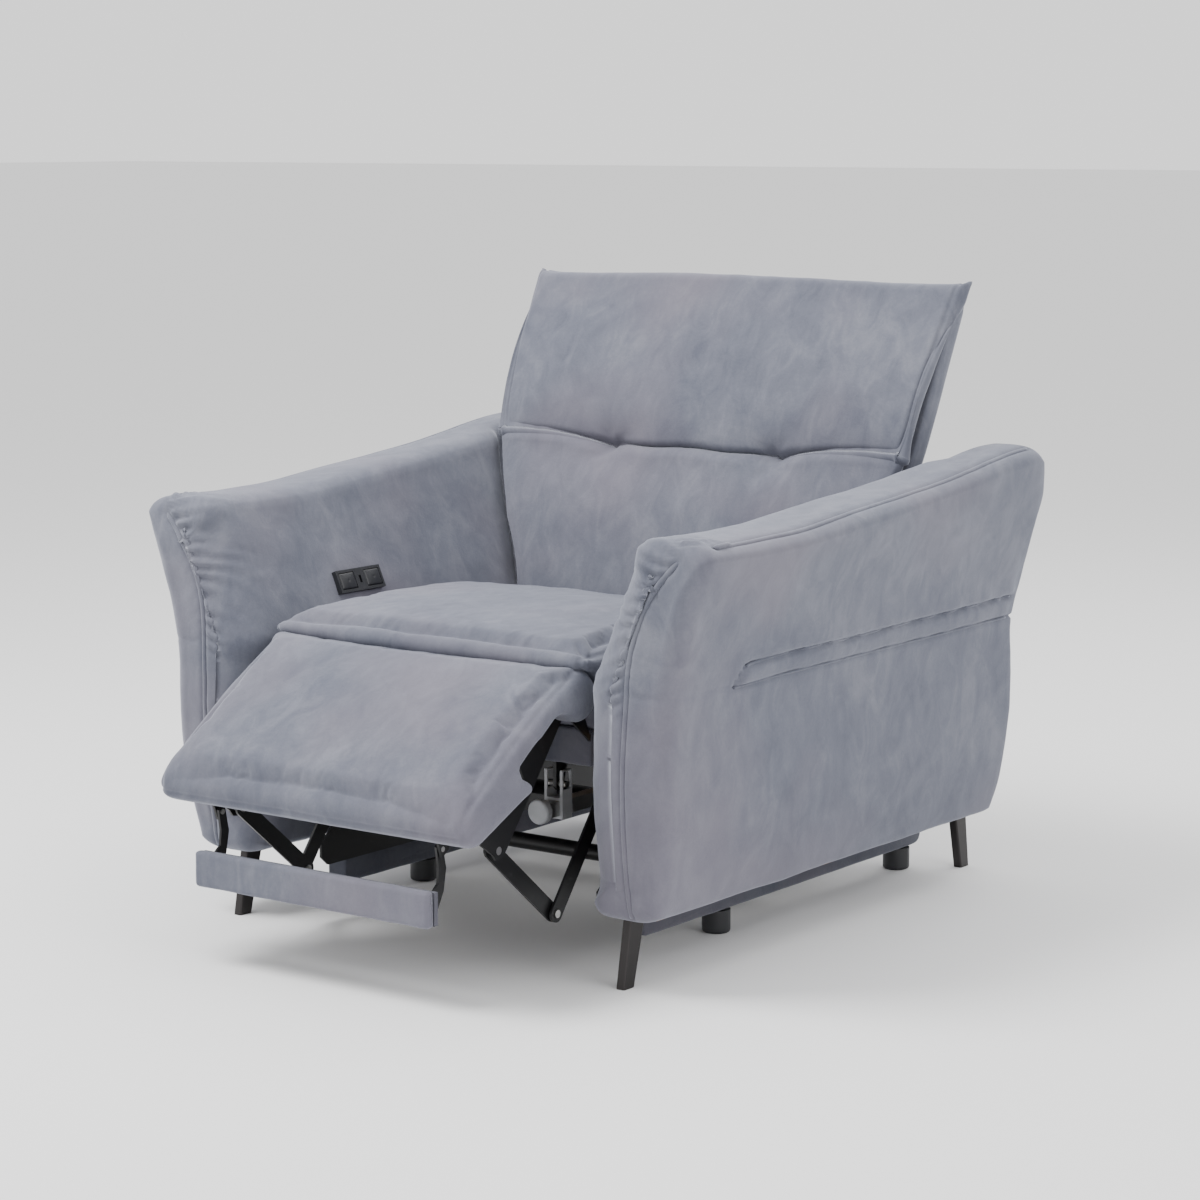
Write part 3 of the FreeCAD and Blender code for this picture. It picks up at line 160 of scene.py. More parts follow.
def tube(name, path, radius, sides=10):
    # a round welt along a path of points, with closed ends
    path = np.asarray(path, float)
    ahead = np.gradient(path, axis=0)
    ahead /= np.linalg.norm(ahead, axis=1)[:, None]
    side = np.cross(ahead[0], [0.0, 0.0, 1.0] if abs(ahead[0][2]) < 0.9 else [1.0, 0.0, 0.0])
    verts = []
    for point, forward in zip(path, ahead):
        side = side - forward * side.dot(forward)
        side /= np.linalg.norm(side)
        up = np.cross(forward, side)
        for k in range(sides):
            a = 2 * math.pi * k / sides
            verts.append(point + radius * (side * math.cos(a) + up * math.sin(a)))
    faces = gridFaces(len(path), sides, closeCols=True)
    faces.append(tuple(range(sides)))
    faces.append(tuple(range((len(path) - 1) * sides, len(path) * sides))[::-1])
    return meshFrom(name, verts, faces)


def resample(path, step):
    path = np.asarray(path, float)
    length = np.concatenate([[0], np.cumsum(np.linalg.norm(np.diff(path, axis=0), axis=1))])
    count = max(3, int(length[-1] / step) + 1)
    at = np.linspace(0, length[-1], count)
    return np.stack([np.interp(at, length, path[:, k]) for k in range(3)], 1)


def nearPath(p, path):
    # distance of each point to a path, and how far along the path its nearest point is
    length = np.concatenate([[0], np.cumsum(np.linalg.norm(np.diff(path, axis=0), axis=1))])
    best = np.full(len(p), 9.0)
    along = np.zeros(len(p))
    for k in range(len(path) - 1):
        a, b = path[k], path[k + 1]
        d = b - a
        t = np.clip(((p - a) @ d) / max(d @ d, 1e-12), 0, 1)
        dist = np.linalg.norm(p - (a + t[:, None] * d), axis=1)
        closer = dist < best
        best[closer] = dist[closer]
        along[closer] = (length[k] + t * (length[k + 1] - length[k]))[closer]
    return best, along


# shader maths on sockets


class Socket:
    def __init__(self, tree, link):
        self.tree = tree
        self.link = link

    def math(self, operation, *values):
        return self.node("ShaderNodeMath", {"operation": operation}, dict(enumerate(values)))

    def node(self, kind, settings=None, values=None, out=0):
        made = self.tree.nodes.new(kind)
        for key, value in (settings or {}).items():
            if key == "stops":
                ramp = made.color_ramp
                while len(ramp.elements) < len(value):
                    ramp.elements.new(0.5)
                for element, (where, colour) in zip(ramp.elements, value):
                    element.position = where
                    element.color = colour
            else:
                setattr(made, key, value)
        for key, value in (values or {}).items():
            if isinstance(value, Socket):
                self.tree.links.new(value.link, made.inputs[key])
            else:
                made.inputs[key].default_value = value
        return Socket(self.tree, made.outputs[out])

    def __add__(self, other):
        return self.math("ADD", self, other)

    def __radd__(self, other):
        return self.math("ADD", other, self)

    def __sub__(self, other):
        return self.math("SUBTRACT", self, other)

    def __rsub__(self, other):
        return self.math("SUBTRACT", other, self)

    def __mul__(self, other):
        return self.math("MULTIPLY", self, other)

    def __rmul__(self, other):
        return self.math("MULTIPLY", other, self)


def newMaterial(name, **fixed):
    made = bpy.data.materials.new(name)
    made.use_nodes = True
    shader = made.node_tree.nodes["Principled BSDF"]
    for key, value in fixed.items():
        shader.inputs[key.replace("_", " ")].default_value = value
    start = Socket(made.node_tree, None)
    place = start.node("ShaderNodeTexCoord", out=3)
    return made, shader, start, place


def noise(start, place, scale, detail=3.0, rough=0.55, distortion=0.0, stretch=None):
    if stretch:
        place = start.node("ShaderNodeMapping", {}, {0: place, 3: stretch})
    return start.node("ShaderNodeTexNoise", {},
                      {"Vector": place, "Scale": scale, "Detail": detail, "Roughness": rough,
                       "Distortion": distortion})


def ramp(start, value, *stops):
    return start.node("ShaderNodeValToRGB", {"stops": stops}, {0: value})


def mix(start, factor, a, b, blend="MIX"):
    made = start.tree.nodes.new("ShaderNodeMix")
    made.data_type = "RGBA"
    made.blend_type = blend
    for index, value in ((0, factor), (6, a), (7, b)):
        if isinstance(value, Socket):
            start.tree.links.new(value.link, made.inputs[index])
        else:
            made.inputs[index].default_value = value
    return Socket(start.tree, made.outputs[2])


def feed(shader, **links):
    for key, value in links.items():
        value.tree.links.new(value.link, shader.inputs[key.replace("_", " ")])


def bump(start, height, strength, distance):
    return start.node("ShaderNodeBump", {}, {"Height": height, "Strength": strength, "Distance": distance})


suede = {
    "deep": (0.078, 0.084, 0.112, 1),
    "mid": (0.112, 0.118, 0.148, 1),
    "pale": (0.158, 0.163, 0.194, 1),
    "lilac": (0.146, 0.130, 0.158, 1),
}


def makeSuede(name, tint=1.0):
    made, shader, start, place = newMaterial(name, Roughness=0.86, Sheen_Weight=0.35, Sheen_Roughness=0.45,
                                             IOR=1.4)
    shader.inputs["Sheen Tint"].default_value = (0.86, 0.89, 1.0, 1)
    shader.inputs["Specular IOR Level"].default_value = 0.25
    cloudy = noise(start, place, 5.5, 4.0, 0.6, 0.8)
    brushed = noise(start, place, 26.0, 3.0, 0.6, 1.2, (1.0, 0.8, 0.45))
    fibre = noise(start, place, 900.0, 2.0, 0.7)
    speck = noise(start, place, 210.0, 3.0, 0.65)
    nap = cloudy * 0.5 + brushed * 0.38 + speck * 0.12
    colour = ramp(start, nap, (0.34, suede["deep"]), (0.5, suede["mid"]), (0.66, suede["pale"]))
    warm = ramp(start, noise(start, place, 3.1, 2.0, 0.5), (0.44, (0, 0, 0, 1)), (0.64, (1, 1, 1, 1)))
    colour = mix(start, warm * 0.5, colour, suede["lilac"])
    grain = ramp(start, fibre, (0.3, (0.82, 0.82, 0.82, 1)), (0.7, (1.12, 1.12, 1.12, 1)))
    colour = mix(start, 0.5, colour, grain, "MULTIPLY")
    colour = mix(start, 1.0, colour, (tint, tint, tint, 1), "MULTIPLY")
    rough = nap * -0.18 + 0.93
    height = fibre * 0.4 + speck * 0.8 + brushed * 0.6
    feed(shader, Base_Color=colour, Roughness=rough, Normal=bump(start, height, 0.28, 0.0012))
    return made


def makeMetal(name, colour, roughness, metallic=1.0, wear=0.25, scale=60.0, bare=(0.35, 0.35, 0.36, 1)):
    made, shader, start, place = newMaterial(name, Metallic=metallic)
    cloud = noise(start, place, scale, 5.0, 0.65)
    scratch = noise(start, place, 180.0, 4.0, 0.7, 0.0, (1.0, 0.08, 0.6))
    worn = ramp(start, cloud * 0.6 + scratch * 0.4, (0.6, (0, 0, 0, 1)), (0.72, (1, 1, 1, 1)))
    base = mix(start, worn * wear, colour, bare)
    rough = cloud * 0.22 + scratch * 0.12 + (roughness - 0.17)
    feed(shader, Base_Color=base, Roughness=rough, Normal=bump(start, scratch + cloud, 0.12, 0.0006))
    return made


def makePlastic(name, colour, roughness):
    made, shader, start, place = newMaterial(name)
    pebble = noise(start, place, 1300.0, 2.0, 0.5)
    cloud = noise(start, place, 30.0, 3.0, 0.5)
    tone = ramp(start, cloud, (0.35, tuple(c * 0.8 for c in colour[:3]) + (1,)), (0.7, colour))
    feed(shader, Base_Color=tone, Roughness=cloud * 0.2 + (roughness - 0.1),
         Normal=bump(start, pebble, 0.22, 0.0004))
    return made


def makeWood(name):
    made, shader, start, place = newMaterial(name, Roughness=0.7)
    grain = noise(start, place, 14.0, 6.0, 0.65, 1.5, (6.0, 0.35, 6.0))
    pore = noise(start, place, 160.0, 3.0, 0.6, 0.0, (3.0, 0.12, 3.0))
    tone = ramp(start, grain * 0.7 + pore * 0.3, (0.36, (0.30, 0.17, 0.075, 1)), (0.5, (0.50, 0.33, 0.17, 1)),
                (0.64, (0.62, 0.45, 0.26, 1)))
    feed(shader, Base_Color=tone, Roughness=grain * 0.2 + 0.6, Normal=bump(start, pore + grain, 0.3, 0.0008))
    return made


fabric = makeSuede("suedeMicrofibre")
# a copy of the suede at 0.62 brightness: painted shade for the cloth under the seat, the base rails and the flap
# board
fabricPaintedShade = makeSuede("suedeUndersidePaintedShade", 0.62)
welt = makeSuede("suedeWelt", 0.97)
blackSteel = makeMetal("blackPaintedSteel", (0.012, 0.012, 0.013, 1), 0.38, 0.35, 0.10)
platedSteel = makeMetal("zincPlate", (0.46, 0.46, 0.45, 1), 0.32, 1.0, 0.3, 40.0, (0.62, 0.6, 0.55, 1))
springSteel = makeMetal("springWire", (0.09, 0.085, 0.08, 1), 0.35, 1.0, 0.4, 80.0)
legMetal = makeMetal("gunmetalLeg", (0.040, 0.037, 0.037, 1), 0.34, 0.85, 0.22, 18.0, (0.16, 0.14, 0.13, 1))
blackPlastic = makePlastic("blackPlastic", (0.016, 0.017, 0.020, 1), 0.42)
greyPlastic = makePlastic("greyPlastic", (0.40, 0.41, 0.43, 1), 0.5)
plywood = makeWood("plywood")
bySlot = {"frame_wood": plywood, "black_steel": blackSteel, "plated_steel": platedSteel,
          "spring_steel": springSteel, "leg_metal": legMetal, "black_plastic": blackPlastic,
          "grey_plastic": greyPlastic, "upholstery": fabric}
for entry in frame["record"]["subparts"]:
    node = frame["nodes"][entry["node"]]
    for index in range(len(node.material_slots)):
        node.material_slots[index].material = bySlot[entry["material_slot"]]
    if not node.material_slots:
        node.data.materials.append(bySlot[entry["material_slot"]])
print("materials made")

# arms

arm = {
    "bottom": 0.1015, "rows": 120, "across": 32, "stations": 118,
    "inner": [(0.105, 0.313), (0.25, 0.311), (0.40, 0.3105), (0.44, 0.3105), (0.45, 0.3155), (0.50, 0.3365),
              (0.56, 0.3635), (0.62, 0.390), (0.66, 0.407), (0.72, 0.425)],
    "outer": [(0.105, 0.436), (0.139, 0.447), (0.186, 0.457), (0.235, 0.465), (0.337, 0.469), (0.438, 0.476),
              (0.489, 0.488), (0.539, 0.503), (0.592, 0.520), (0.64, 0.537), (0.70, 0.548)],
    "crest": [(-0.39, 0.655), (-0.236, 0.652), (-0.13, 0.654), (0.02, 0.667), (0.16, 0.680), (0.31, 0.696),
              (0.40, 0.708), (0.51, 0.719), (0.60, 0.716)],
    "front": [(0.105, -0.375), (0.15, -0.376), (0.20, -0.382), (0.30, -0.390), (0.40, -0.387), (0.50, -0.386),
              (0.60, -0.388), (0.66, -0.380), (0.72, -0.376)],
    "rear": [(0.105, 0.583), (0.20, 0.592), (0.36, 0.592), (0.42, 0.584), (0.50, 0.583), (0.56, 0.579),
             (0.60, 0.574), (0.646, 0.564), (0.69, 0.548), (0.72, 0.536)],
    "innerFrontRound": 0.070, "topFrontRound": 0.030, "outerFrontRound": 0.030, "lowFrontRound": 0.028,
    "rearRound": 0.020, "topRound": 0.026, "lowRound": 0.012, "topFall": 0.004,
    "frontCrown": -0.006, "rearCrown": 0.004, "coreLow": 0.06, "coreHigh": 0.585,
    # the step that lets the back swing between the arms: its wall, leaning front edge and base
    "recessWall": 0.438, "recessFront": 0.284, "recessLean": 0.31, "recessBase": 0.40,
    "recessStep": (0.386, 0.404), "recessEdge": (0.012, 0.022), "blockFront": 0.40,
    # welt on the front face, (height, across), and along the top, (depth, across)
    "frontWelt": [(0.112, 0.397), (0.15, 0.396), (0.20, 0.396), (0.30, 0.397), (0.40, 0.400), (0.50, 0.408),
                  (0.55, 0.426), (0.60, 0.459), (0.63, 0.488), (0.652, 0.514)],
    "topWelt": [(-0.37, 0.516), (-0.30, 0.512), (-0.10, 0.513), (0.10, 0.516), (0.30, 0.521), (0.42, 0.524),
                (0.515, 0.526)],
    "frontWeltSpan": (0.112, 0.650, 90), "topWeltSpan": (-0.368, 0.512, 110), "weltStep": 0.006,
    "weltRadius": 0.0046, "weltGroove": 0.0044, "weltGrooveWidth": 0.0055, "bandWeltRadius": 0.0021,
    "bandStart": (-0.203, -0.226), "bandEnd": 0.552, "bandPuff": 0.0038, "bandSeam": 0.0050,
    "tip": -0.228, "tipLow": 0.4275, "tipRun": 0.023, "tipSeam": 0.0016,
    "pocketGroove": 0.0085, "pocketPuff": 0.0080,
    "gatherFrom": 0.375, "gatherPitch": 0.021, "gatherDepth": 0.0075, "outerWrinkle": 0.0012,
    "flapHigh": [(-0.205, 0.457), (-0.15, 0.4605), (0.10, 0.464), (0.60, 0.470)],
    "flapLow": [(-0.228, 0.4275), (-0.17, 0.429), (0.10, 0.431), (0.60, 0.434)],
}


def armSection(y, part, count):
    # (x, z) of one chain of the cross-section at depth y
    top = spline(arm["crest"], y)
    lift = arm["topRound"]
    s = np.linspace(0, 1, count)
    high = top - lift
    if part == "inner":
        z = arm["bottom"] + arm["lowRound"] + (high - arm["bottom"] - arm["lowRound"]) * s
        x = spline(arm["inner"], z)
        recess = arm["recessFront"] + arm["recessLean"] * (z - arm["recessBase"])
        before, behind = arm["recessEdge"]
        x = x + ((arm["recessWall"] - x) * smooth(*arm["recessStep"], z)
                 * smooth(recess - before, recess + behind, y))
        return np.stack([x, z], 1)
    if part == "outer":
        z = arm["bottom"] + arm["lowRound"] + (high - arm["bottom"] - arm["lowRound"]) * s
        return np.stack([spline(arm["outer"], z), z], 1)
    a = armSection(y, "inner", 2)[1]
    b = armSection(y, "outer", 2)[1]
    if part == "top":
        x = a[0] + (b[0] - a[0]) * s
        z = high + lift * np.clip(1 - np.abs(2 * s - 1) ** 3.4, 0, 1) ** 0.55
        z = z - arm["topFall"] * s
        return np.stack([x, z], 1)
    a = armSection(y, "inner", 2)[0]
    b = armSection(y, "outer", 2)[0]
    x = a[0] + (b[0] - a[0]) * s
    return np.stack([x, arm["bottom"] + arm["lowRound"] * np.abs(2 * s - 1) ** 4], 1)


def armLoop(y):
    rows, across = arm["rows"], arm["across"]
    inner = armSection(y, "inner", rows)
    top = armSection(y, "top", across)
    outer = armSection(y, "outer", rows)
    low = armSection(y, "bottom", across)
    return np.concatenate([inner[:-1], top[:-1], outer[::-1][:-1], low[::-1][:-1]])


def armMesh():
    rows, across = arm["rows"], arm["across"]
    # y is solved for each station so that every loop point starts and ends on its own face
    base = armLoop(0.0)
    count = len(base)
    kind = np.zeros(count, int)
    kind[rows - 1:rows + across - 2] = 1
    kind[rows + across - 2:2 * rows + across - 3] = 2
    kind[2 * rows + across - 3:] = 3
    rounds = np.choose(kind, [arm["innerFrontRound"], arm["topFrontRound"], arm["outerFrontRound"],
                              arm["lowFrontRound"]]).astype(float)
    for _ in range(24):
        rounds = (np.roll(rounds, 1) + rounds * 2 + np.roll(rounds, -1)) / 4
    rearRounds = np.full(count, arm["rearRound"])
    turns = np.linspace(0, math.pi / 2, 9)
    plan = [("front", t) for t in turns[:-1]]
    plan += [("body", s) for s in np.linspace(0, 1, arm["stations"])]
    plan += [("rear", t) for t in turns[::-1][1:]]
    sections = {}

    def sectionAt(y):
        key = round(float(y), 3)
        if key not in sections:
            sections[key] = armLoop(key)
        return sections[key]

    rings = []
    for where, value in plan:
        ring = np.zeros((count, 3))
        z = base[:, 1]
        for _ in range(2):
            faceY = spline(arm["front"], z)
            backY = spline(arm["rear"], z)
            if where == "front":
                y = faceY + rounds * (1 - math.cos(value))
                inset = rounds * (1 - math.sin(value))
            elif where == "rear":
                y = backY - rearRounds * (1 - math.cos(value))
                inset = rearRounds * (1 - math.sin(value))
            else:
                y = faceY + rounds + (backY - rearRounds - faceY - rounds) * value
                inset = np.zeros(count)
            p = np.array([sectionAt(yy)[i] for i, yy in enumerate(y)])
            z = p[:, 1]
        middleZ = np.clip(z, arm["bottom"] + arm["coreLow"], arm["coreHigh"])
        middleX = (spline(arm["inner"], middleZ) + spline(arm["outer"], middleZ)) / 2
        inRecess = (y > arm["blockFront"]) & (middleZ > arm["recessBase"])
        middleX = np.where(inRecess, (arm["recessWall"] + spline(arm["outer"], middleZ)) / 2, middleX)
        toward = np.stack([middleX - p[:, 0], middleZ - p[:, 1]], 1)
        toward /= np.linalg.norm(toward, axis=1)[:, None]
        p = p + toward * inset[:, None]
        ring[:, 0], ring[:, 1], ring[:, 2] = p[:, 0], y, p[:, 1]
        rings.append(ring)
    verts = np.concatenate(rings)
    faces = gridFaces(len(rings), count, closeCols=True)
    # the two end faces are filled with a grid between their four sides
    for ringIndex, crown in ((0, arm["frontCrown"]), (len(rings) - 1, arm["rearCrown"])):
        ring = rings[ringIndex]
        left = ring[:rows]
        high = ring[rows - 1:rows + across - 1]
        right = ring[rows + across - 2:2 * rows + across - 2][::-1]
        low = np.concatenate([ring[2 * rows + across - 3:], ring[:1]])[::-1]
        v = np.linspace(0, 1, rows)[:, None, None]
        u = np.linspace(0, 1, across)[None, :, None]
        patch = ((1 - u) * left[:, None] + u * right[:, None] + (1 - v) * low[None] + v * high[None]
                 - (1 - u) * (1 - v) * left[0] - u * (1 - v) * right[0]
                 - (1 - u) * v * left[-1] - u * v * right[-1])
        patch[:, :, 1] += crown * (np.sin(np.pi * u) * np.sin(np.pi * np.clip(v * 1.2, 0, 1)) ** 0.5)[:, :, 0]
        start = len(verts)
        verts = np.concatenate([verts, patch.reshape(-1, 3)])
        faces += gridFaces(rows, across, start)
    return verts, faces


def surfaceHit(tree, origin, direction):
    hit = tree.ray_cast(Vector(origin), Vector(direction))
    return hit[0]


def weltPaths(piece):
    tree = BVHTree.FromObject(piece, bpy.context.evaluated_depsgraph_get())
    front, top = [], []
    for z in np.linspace(*arm["frontWeltSpan"]):
        hit = surfaceHit(tree, (float(spline(arm["frontWelt"], z)), -0.6, z), (0, 1, 0))
        if hit:
            front.append(hit)
    for y in np.linspace(*arm["topWeltSpan"]):
        hit = surfaceHit(tree, (float(spline(arm["topWelt"], y)), y, 0.9), (0, 0, -1))
        if hit:
            top.append(hit)
    line = np.array(front + top)
    for _ in range(6):
        line[1:-1] = (line[:-2] + 2 * line[1:-1] + line[2:]) / 4
    return resample(line, arm["weltStep"]), resample(np.array(front), arm["weltStep"]), tree


verts, faces = armMesh()
rightArm = meshFrom("armRight", verts, faces)
bpy.context.view_layer.update()
weltLine, frontLine, _ = weltPaths(rightArm)
p = coords(rightArm)
distance, along = nearPath(p, weltLine)
frontDistance, frontAlong = nearPath(p, frontLine)
# gathers beside the front welt, on its inner side
onFront = smooth(-0.28, -0.335, p[:, 1])
innerSide = smooth(0.004, -0.004, p[:, 0] - spline(arm["frontWelt"], np.clip(p[:, 2], 0.112, 0.652)))
gather = smooth(arm["gatherFrom"], arm["gatherFrom"] + 0.09, p[:, 2]) * onFront
jitter = waves(np.stack([frontAlong, frontAlong * 0, frontAlong * 0], 1), 0.06, 5, 2) * 0.006
phase = (frontAlong + 0.55 * frontDistance + jitter) / arm["gatherPitch"] * 2 * math.pi
fold = np.sin(phase / 2) ** 2 - 0.45
reach = 0.040 + 0.016 * np.sin(frontAlong * 190) + 0.012 * np.sin(frontAlong * 77 + 1)
fading = np.exp(-np.clip(frontDistance - 0.012, 0, 1) / reach)
amount = arm["gatherDepth"] * fold * gather * innerSide * fading * smooth(0.003, 0.012, frontDistance)
amount += arm["outerWrinkle"] * fold * gather * (1 - innerSide) * np.exp(-frontDistance / 0.014)
# a groove for the welt, and soft unevenness of the padding
amount -= arm["weltGroove"] * bell(distance, arm["weltGrooveWidth"])
amount += 0.0016 * waves(p, 0.30, 11) + 0.0007 * waves(p, 0.09, 12)
# the pocket line along the outer side: an overhanging upper panel, a band, and the lower panel
high = spline(arm["flapHigh"], p[:, 1])
low = spline(arm["flapLow"], p[:, 1])
outside = smooth(0.452, 0.462, p[:, 0])
tip = arm["tip"] + arm["tipRun"] * np.clip((p[:, 2] - arm["tipLow"]) / 0.03, 0, 1.4)
rearFade = smooth(0.566, 0.535, p[:, 1])
inFlap = smooth(tip - 0.003, tip + 0.012, p[:, 1]) * outside * rearFade
groove = np.where(p[:, 2] > high - 0.0005, bell(p[:, 2] - high, 0.0055), bell(p[:, 2] - high, 0.0030))
amount -= arm["pocketGroove"] * groove * inFlap
puff = np.exp(-np.clip(p[:, 2] - high - 0.004, 0, 1) / 0.035)
amount += arm["pocketPuff"] * puff * (p[:, 2] > high) * inFlap * smooth(tip - 0.01, tip + 0.11, p[:, 1])
band = np.clip((p[:, 2] - low) / (high - low), 0, 1)
amount += arm["bandPuff"] * np.sin(np.pi * band) * (band > 0) * (band < 1) * inFlap
amount -= arm["bandSeam"] * bell(p[:, 2] - low, 0.0030) * smooth(-0.231, -0.222, p[:, 1]) * outside
amount -= arm["bandSeam"] * bell(p[:, 1] - tip, 0.004) * outside * (p[:, 2] > low) * (p[:, 2] < high + 0.004)
# the fine seam from the welt to the pocket's tip
amount -= arm["tipSeam"] * bell(p[:, 2] - 0.4315, 0.0022) * smooth(-0.222, -0.232, p[:, 1]) * (
    p[:, 0] > spline(arm["frontWelt"], np.clip(p[:, 2], 0.112, 0.65)))
push(rightArm, amount)
bpy.context.view_layer.update()
weltLine, _, armTree = weltPaths(rightArm)
rightWelt = tube("armWeltRight", weltLine, arm["weltRadius"])
# a thin welt along both edges of the band
bandLines = []
for table, start in zip((arm["flapHigh"], arm["flapLow"]), arm["bandStart"]):
    line = []
    for y in np.linspace(start, arm["bandEnd"], 120):
        hit = surfaceHit(armTree, (0.7, y, float(spline(table, y))), (-1, 0, 0))
        if hit:
            line.append(hit + Vector((0.0004, 0, 0)))
    bandLines.append(tube("armBandWelt%d" % len(bandLines), resample(line, arm["weltStep"]),
                          arm["bandWeltRadius"], 8))


def mirrorCopy(piece, name):
    mesh = piece.data.copy()
    mesh.transform(Matrix.Scale(-1, 4, (1, 0, 0)))
    mesh.flip_normals()
    copy = bpy.data.objects.new(name, mesh)
    bpy.context.scene.collection.objects.link(copy)
    return copy


for side in ("right", "left"):
    cover = rightArm if side == "right" else mirrorCopy(rightArm, "armLeft")
    finish(cover, "base", fabric, ["arm_cover_" + side])
    for index, piece in enumerate([rightWelt] + bandLines):
        name = ["armWelt", "armBandHigh", "armBandLow"][index] + side.capitalize()
        part = piece if side == "right" else mirrorCopy(piece, name)
        part.name = name
        finish(part, "base", welt)
print("arms made")

# padded slabs: a front and a rear face over one outline, with rounded rims and sides


def spaced(count, edge):
    # 0 to 1, closer together near both ends
    s = np.linspace(0, 1, count)
    return s + edge * (np.sin(2 * np.pi * s) / (-2 * np.pi))


def slab(cols, rows, outline, front, rear, roundFront, roundRear, sideRows=5, bulge=0.0):
    # outline(a, b) gives (across, up) for a and b in 0..1; front and rear give the height there
    a = spaced(cols, 0.75)
    b = spaced(rows, 0.75)
    A, B = np.meshgrid(a, b)
    X, U = outline(A, B)
    half = (X[:, -1:] - X[:, :1]) / 2
    edgeX = np.minimum(A, 1 - A) * 2 * half
    edgeU = np.minimum(B, 1 - B) * (U[-1:, :] - U[:1, :])

    def rim(radius):
        gx = np.sqrt(np.clip(1 - (1 - np.clip(edgeX / radius, 0, 1)) ** 2, 0, 1))
        gu = np.sqrt(np.clip(1 - (1 - np.clip(edgeU / radius, 0, 1)) ** 2, 0, 1))
        return radius * (1 - gx * gu)

    F = front(X, U) - rim(roundFront)
    R = rear(X, U) + rim(roundRear)
    verts = [np.stack([X, U, F], 2).reshape(-1, 3), np.stack([X, U, R], 2).reshape(-1, 3)]
    faces = gridFaces(rows, cols) + gridFaces(rows, cols, rows * cols)
    rimIndex = [(0, c) for c in range(cols)] + [(r, cols - 1) for r in range(1, rows)]
    rimIndex += [(rows - 1, c) for c in range(cols - 2, -1, -1)] + [(r, 0) for r in range(rows - 2, 0, -1)]
    rr = np.array([i[0] for i in rimIndex])
    cc = np.array([i[1] for i in rimIndex])
    out = np.stack([X[rr, cc], U[rr, cc]], 1)
    away = np.stack([np.where(cc == 0, -1.0, np.where(cc == cols - 1, 1.0, 0)),
                     np.where(rr == 0, -1.0, np.where(rr == rows - 1, 1.0, 0))], 1)
    side = []
    for k in range(sideRows):
        t = k / (sideRows - 1)
        level = F[rr, cc] * (1 - t) + R[rr, cc] * t
        spread = out + away * (bulge * math.sin(math.pi * t))
        side.append(np.stack([spread[:, 0], spread[:, 1], level], 1))
    start = 2 * rows * cols
    verts += side
    faces += gridFaces(sideRows, len(rimIndex), start, closeCols=True)
    return np.concatenate(verts), faces


def inFrame(points, origin, turn):
    # (across, along +Y of the frame, up its +Z) to the chair's own axes
    c, s = math.cos(turn), math.sin(turn)
    x, y, z = points[:, 0], points[:, 1], points[:, 2]
    return np.stack([x, origin[0] + y * c - z * s, origin[1] + y * s + z * c], 1)


def outFrame(points, origin, turn):
    c, s = math.cos(turn), math.sin(turn)
    x, y, z = points[:, 0], points[:, 1] - origin[0], points[:, 2] - origin[1]
    return np.stack([x, y * c + z * s, -y * s + z * c], 1)


padding = {"voxel": 0.005, "pressure": 4.0, "stiffness": 12.0, "shear": 5, "bending": 0.5, "quality": 4,
           "frames": 20, "inward": 0.002}


def inflate(piece, cap, soft, widest):
    # blows the piece up as cloth over its own shape, with each point's move capped;
    # soft(points) is 1 where the cloth may move and 0 where it is fixed to its board
    scene = bpy.context.scene
    remesh = piece.modifiers.new("remesh", "REMESH")
    remesh.mode = "VOXEL"
    remesh.voxel_size = padding["voxel"]
    remesh.use_smooth_shade = True
    applied(piece)
    rest = coords(piece)
    cloth = piece.modifiers.new("cloth", "CLOTH")
    settings = cloth.settings
    settings.use_pressure = True
    settings.uniform_pressure_force = padding["pressure"]
    settings.tension_stiffness = padding["stiffness"]
    settings.compression_stiffness = padding["stiffness"]
    settings.shear_stiffness = padding["shear"]
    settings.bending_stiffness = padding["bending"]
    settings.quality = padding["quality"]
    settings.effector_weights.gravity = 0
    cloth.collision_settings.use_collision = False
    cloth.collision_settings.use_self_collision = False
    for step in range(1, padding["frames"] + 1):
        scene.frame_set(step)
    depsgraph = bpy.context.evaluated_depsgraph_get()
    moved = np.empty(len(rest) * 3)
    piece.evaluated_get(depsgraph).data.vertices.foreach_get("co", moved)
    moved = moved.reshape(-1, 3) - rest
    piece.modifiers.remove(cloth)
    facing = normals(piece)
    outward = np.sum(moved * facing, 1)
    moved += facing * (np.maximum(outward, -padding["inward"]) - outward)[:, None]
    scene.frame_set(1)
    length = np.linalg.norm(moved, axis=1)
    moved *= (np.minimum(length, cap) / np.maximum(length, 1e-9) * soft(rest))[:, None]
    final = rest + moved
    final[:, 0] = np.clip(final[:, 0], -widest, widest)
    setCoords(piece, final)
    print("inflated", piece.name, "by up to", round(float(length.max()) * 1000, 1), "mm, kept", cap * 1000)
    return refine(piece)


def refine(piece):
    more = piece.modifiers.new("refine", "SUBSURF")
    more.levels = more.render_levels = 1
    return applied(piece)


# back: its frame leans 20 degrees about the hinge; x across, y to the rear, z up the lean

